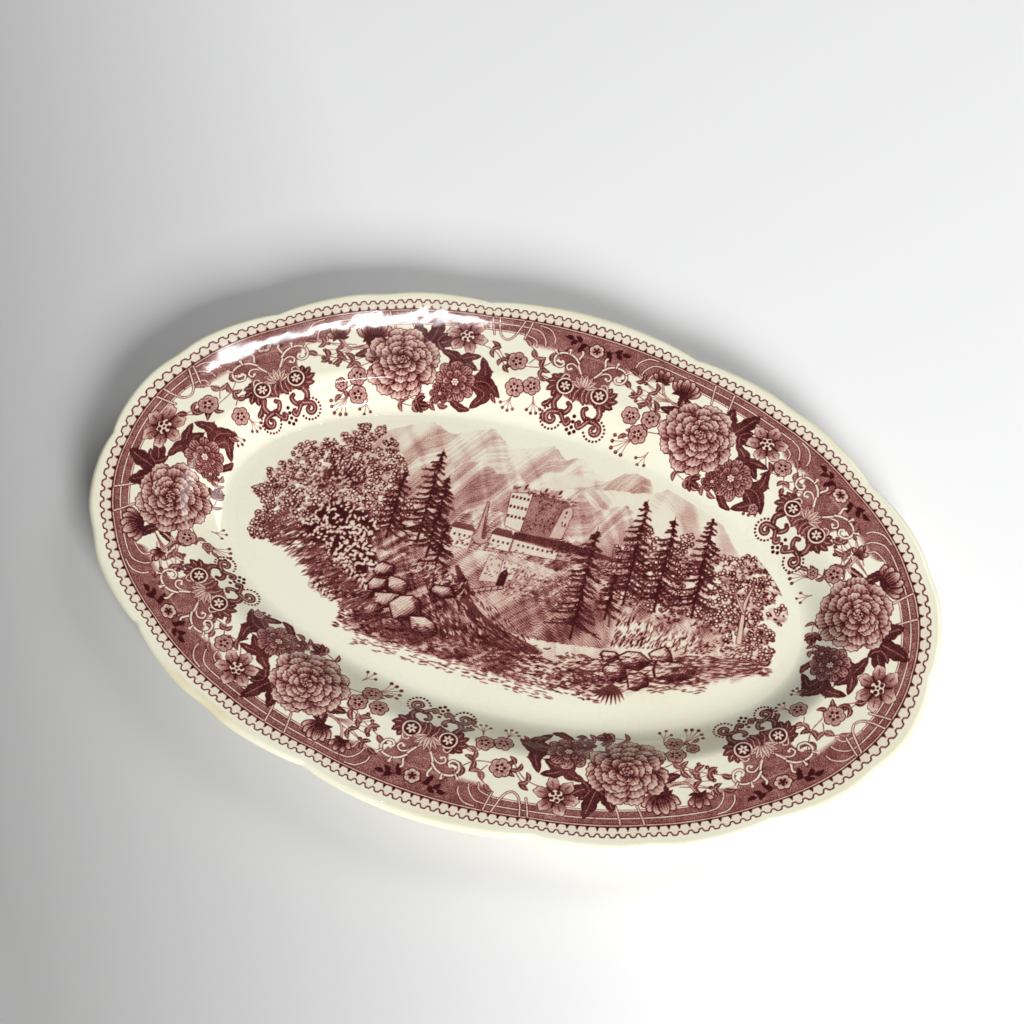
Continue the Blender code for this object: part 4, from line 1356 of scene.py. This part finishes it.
def glaze_group():
    """Ink in, and the glaze's colour, roughness and height out: stipple, soft tone, crazing and specks."""
    tree = bpy.data.node_groups.new("glazed_ink", "ShaderNodeTree")
    made = tree.interface.new_socket
    made("Ink", in_out="INPUT", socket_type="NodeSocketFloat")
    made("Lip_wear_and_shade", in_out="INPUT", socket_type="NodeSocketFloat")
    made("Color", in_out="OUTPUT", socket_type="NodeSocketColor")
    made("Roughness", in_out="OUTPUT", socket_type="NodeSocketFloat")
    made("Height", in_out="OUTPUT", socket_type="NodeSocketFloat")
    node = tree.nodes.new
    given, out = node("NodeGroupInput"), node("NodeGroupOutput")
    place = node("ShaderNodeTexCoord")

    def noise(scale, detail=2.0):
        item = node("ShaderNodeTexNoise")
        item.inputs["Scale"].default_value = scale
        item.inputs["Detail"].default_value = detail
        wire(tree, (place.outputs["Object"], item.inputs["Vector"]))
        return item.outputs["Fac"]

    def spread(value, low, high, to_low, to_high):
        item = node("ShaderNodeMapRange")
        item.inputs["From Min"].default_value = low
        item.inputs["From Max"].default_value = high
        item.inputs["To Min"].default_value = to_low
        item.inputs["To Max"].default_value = to_high
        wire(tree, (value, item.inputs["Value"]))
        return item.outputs["Result"]

    def maths(kind, first, second):
        item = node("ShaderNodeMath")
        item.operation = kind
        for socket, value in zip(item.inputs, (first, second)):
            if isinstance(value, float):
                socket.default_value = value
            else:
                wire(tree, (value, socket))
        return item.outputs["Value"]

    def laid_over(colour, share, over, kind="MULTIPLY"):
        item = node("ShaderNodeMixRGB")
        item.blend_type = kind
        item.inputs["Color2"].default_value = (*over, 1.0)
        wire(tree, (share, item.inputs["Fac"]), (colour, item.inputs["Color1"]))
        return item.outputs["Color"]

    def cells(scale, feature="F1"):
        item = node("ShaderNodeTexVoronoi")
        item.feature = feature
        item.inputs["Scale"].default_value = scale
        wire(tree, (place.outputs["Object"], item.inputs["Vector"]))
        return item.outputs["Distance"]

    # the ink breaks into stipple where it is neither bare nor full, then turns into colour
    stipple = spread(noise(2100, 1.0), 0.35, 0.65, -0.16, 0.16)
    patchy = spread(noise(160, 3.0), 0.3, 0.7, -0.09, 0.09)
    bare = maths("MULTIPLY", given.outputs["Ink"], maths("SUBTRACT", 1.25, given.outputs["Ink"]))
    grain = maths("MULTIPLY", maths("ADD", stipple, patchy), maths("MULTIPLY", bare, 2.4))
    inked = maths("ADD", given.outputs["Ink"], grain)
    ramp = node("ShaderNodeValToRGB")
    while len(ramp.color_ramp.elements) < len(INKS):
        ramp.color_ramp.elements.new(0.5)
    for element, (position, colour) in zip(ramp.color_ramp.elements, INKS):
        element.position = position
        element.color = (*colour, 1.0)
    wire(tree, (inked, ramp.inputs["Fac"]))

    # soft clouds of cream, a warm lip from wear and painted shade, hair-fine crazing, and a few kiln specks
    clouds = spread(noise(14, 3.0), 0.4, 0.75, 0.0, 0.5)
    wear_and_painted_shade = maths("MULTIPLY", given.outputs["Lip_wear_and_shade"], spread(noise(45, 4.0), 0.35, 0.65, 0.15, 0.75))
    hairs = spread(cells(190, "DISTANCE_TO_EDGE"), 0.0, 0.035, 0.16, 0.0)
    specks = spread(cells(17), 0.005, 0.009, 0.75, 0.0)
    colour = laid_over(ramp.outputs["Color"], clouds, (0.93, 0.89, 0.80))
    colour = laid_over(colour, wear_and_painted_shade, (0.90, 0.85, 0.74))
    colour = laid_over(colour, hairs, (0.80, 0.70, 0.55))
    colour = laid_over(colour, specks, (0.16, 0.10, 0.06), "MIX")

    wire(
        tree,
        (colour, out.inputs["Color"]),
        (spread(noise(60, 4.0), 0.3, 0.7, 0.03, 0.06), out.inputs["Roughness"]),
        (noise(55, 2.0), out.inputs["Height"]),
    )
    return tree


GLAZED_INK = glaze_group()


def principled(name):
    """A new material, its tree and its shader."""
    material = bpy.data.materials.new(name)
    material.use_nodes = True
    return material, material.node_tree, material.node_tree.nodes["Principled BSDF"]


def glaze_material(name, attribute, socket):
    """Glossy glaze over whatever the named attribute says: ink for the prints, wear and painted shade for the
    coat.
    """
    material, tree, shader = principled(name)
    shader.inputs["IOR"].default_value = 1.52
    group = tree.nodes.new("ShaderNodeGroup")
    group.node_tree = GLAZED_INK
    source = tree.nodes.new("ShaderNodeAttribute")
    source.attribute_name = attribute
    bump = tree.nodes.new("ShaderNodeBump")
    bump.inputs["Strength"].default_value = 0.12
    bump.inputs["Distance"].default_value = 0.0006
    wire(
        tree,
        (source.outputs["Fac"], group.inputs[socket]),
        (group.outputs["Color"], shader.inputs["Base Color"]),
        (group.outputs["Roughness"], shader.inputs["Roughness"]),
        (group.outputs["Height"], bump.inputs["Height"]),
        (bump.outputs["Normal"], shader.inputs["Normal"]),
    )
    return material


def clay_material():
    """Matt buff clay: a mottled body with dark grains."""
    material, tree, shader = principled("fired_clay")
    place = tree.nodes.new("ShaderNodeTexCoord")
    mottle = tree.nodes.new("ShaderNodeTexNoise")
    mottle.inputs["Scale"].default_value = 320
    mottle.inputs["Detail"].default_value = 5
    ramp = tree.nodes.new("ShaderNodeValToRGB")
    ramp.color_ramp.elements[0].position = 0.36
    ramp.color_ramp.elements[0].color = (0.36, 0.29, 0.21, 1)
    ramp.color_ramp.elements[1].position = 0.58
    ramp.color_ramp.elements[1].color = (0.70, 0.62, 0.49, 1)
    bump = tree.nodes.new("ShaderNodeBump")
    bump.inputs["Strength"].default_value = 0.5
    bump.inputs["Distance"].default_value = 0.0004
    shader.inputs["Roughness"].default_value = 0.82
    wire(
        tree,
        (place.outputs["Object"], mottle.inputs["Vector"]),
        (mottle.outputs["Fac"], ramp.inputs["Fac"]),
        (ramp.outputs["Color"], shader.inputs["Base Color"]),
        (mottle.outputs["Fac"], bump.inputs["Height"]),
        (bump.outputs["Normal"], shader.inputs["Normal"]),
    )
    return material


print_glaze = glaze_material("printed_glaze", "ink", "Ink")
bare_glaze = glaze_material("ivory_glaze", "lip", "Lip_wear_and_shade")
for item in prints:
    item.data.materials.append(print_glaze)
for item in (glaze_coat, recess_coat):
    item.data.materials.append(bare_glaze)
clay.data.materials.append(clay_material())

# the lip's wear: full on the outermost round of the lip, gone a few millimetres in, and painted shade at the
# near left
spots = np.empty(len(glaze_coat.data.vertices) * 3, dtype=np.float32)
glaze_coat.data.vertices.foreach_get("co", spots)
spots = spots.reshape(-1, 3) / MM
from_edge = np.array(inset_at(spots[:, 0].astype(float), spots[:, 1].astype(float), 20.0))
# painted shade: a broad spot at the near left makes the lip up to three times as dark there
near_left_painted_shade = np.exp(-(((spots[:, 0] + 118) / 20) ** 2 + ((spots[:, 1] + 117) / 14) ** 2))
lip_wear_and_painted_shade = np.clip(1 - np.abs(from_edge) / 4.0, 0, 1) * (1 + 2.2 * near_left_painted_shade)
glaze_coat.data.attributes.new("lip", "FLOAT", "POINT").data.foreach_set("value", lip_wear_and_painted_shade.astype(np.float32))
print(f"materials on {len(prints) + 3} pieces")

# %% [markdown]
# ## Floor, light and camera
# A white paper floor and a broad soft light from the near right leave the shadow on the far left, and the
# paper's colour is darkened towards the near left as painted shade.  Gloss shows only what it mirrors, so two
# narrow lamps hang where the far rim and the cavetto mirror them to the eye; each draws one thin glint and
# adds almost no light of its own.

# %% Floor
FLOOR_HALF = 3.0


def paper_floor():
    """A pale sheet, level with the foot, its colour darkened towards the near left as painted shade."""
    mesh = bpy.data.meshes.new("paper_floor")
    h = FLOOR_HALF
    mesh.from_pydata([(-h, -h, 0), (h, -h, 0), (h, h, 0), (-h, h, 0)], [], [(0, 1, 2, 3)])
    floor = bpy.data.objects.new("paper_floor", mesh)
    bpy.context.scene.collection.objects.link(floor)
    material, tree, shader = principled("paper_with_painted_shade")
    place = tree.nodes.new("ShaderNodeTexCoord")
    turned = tree.nodes.new("ShaderNodeMapping")
    turned.inputs["Rotation"].default_value = (0, 0, math.radians(-38))
    turned.inputs["Scale"].default_value = (3.6, 3.6, 3.6)
    turned.inputs["Location"].default_value = (0.98, 0.0, 0.0)
    # painted shade: a gradient darkens the paper from 0.93 to 0.40 towards the near left
    fall = tree.nodes.new("ShaderNodeTexGradient")
    ramp = tree.nodes.new("ShaderNodeValToRGB")
    ramp.color_ramp.elements[0].color = (0.40, 0.40, 0.395, 1)
    ramp.color_ramp.elements[1].color = (0.93, 0.93, 0.93, 1)
    shader.inputs["Roughness"].default_value = 0.9
    wire(
        tree,
        (place.outputs["Object"], turned.inputs["Vector"]),
        (turned.outputs["Vector"], fall.inputs["Vector"]),
        (fall.outputs["Fac"], ramp.inputs["Fac"]),
        (ramp.outputs["Color"], shader.inputs["Base Color"]),
    )
    mesh.materials.append(material)


paper_floor()


# %% Lights
def soft_lamp(name, place, aim, width, height, watts, along=(0, 0, 1)):
    """A rectangular lamp at place, its face turned to aim and its height as near along as can be."""
    data = bpy.data.lights.new(name, "AREA")
    data.shape = "RECTANGLE"
    data.size, data.size_y, data.energy = width, height, watts
    lamp = bpy.data.objects.new(name, data)
    bpy.context.scene.collection.objects.link(lamp)
    lamp.location = place
    back = (Vector(place) - Vector(aim)).normalized()
    across = Vector(along).cross(back).normalized()
    lamp.rotation_euler = Matrix((across, back.cross(across), back)).transposed().to_euler()
    return lamp


CENTRE = (0.0, 0.0, 0.01)
soft_lamp("window", (1.57, -1.95, 1.42), CENTRE, 1.0, 1.0, 102)
soft_lamp("sky_panel", (0.85, 1.35, 1.60), CENTRE, 1.0, 1.0, 13)
soft_lamp("rim_glint", (-0.605, 1.13, 3.33), (-0.15, 0.08, 0.025), 0.010, 0.11, 0.40, (0.6, 0.8, 0))
soft_lamp("cavetto_glint", (0.42, -0.90, 1.70), (-0.10, 0.05, 0.01), 0.05, 0.40, 2.0, (0.9, 0.4, 0))

world = bpy.data.worlds.new("studio")
bpy.context.scene.world = world
world.use_nodes = True
world.node_tree.nodes["Background"].inputs["Color"].default_value = (0.97, 0.98, 1.0, 1)
world.node_tree.nodes["Background"].inputs["Strength"].default_value = 0.17
bpy.context.scene.view_settings.view_transform = "Standard"


# %% Camera
def camera():
    """A lens of 75 mm, 1.07 m off, 62 degrees above the table and 18.6 degrees round to the left."""
    elevation, round_by = math.radians(62.0), math.radians(18.61)
    level = Vector((-math.sin(round_by), math.cos(round_by), 0.0))
    ahead = level * math.cos(elevation) + Vector((0, 0, -math.sin(elevation)))
    data = bpy.data.cameras.new("camera")
    data.lens = 74.9
    data.sensor_width = 36.0
    data.sensor_fit = "HORIZONTAL"
    item = bpy.data.objects.new("camera", data)
    bpy.context.scene.collection.objects.link(item)
    item.location = Vector((-0.0099, 0.0335, 0.0)) - ahead * 1.0688
    item.rotation_euler = ahead.to_track_quat("-Z", "Y").to_euler()
    bpy.context.scene.camera = item


camera()
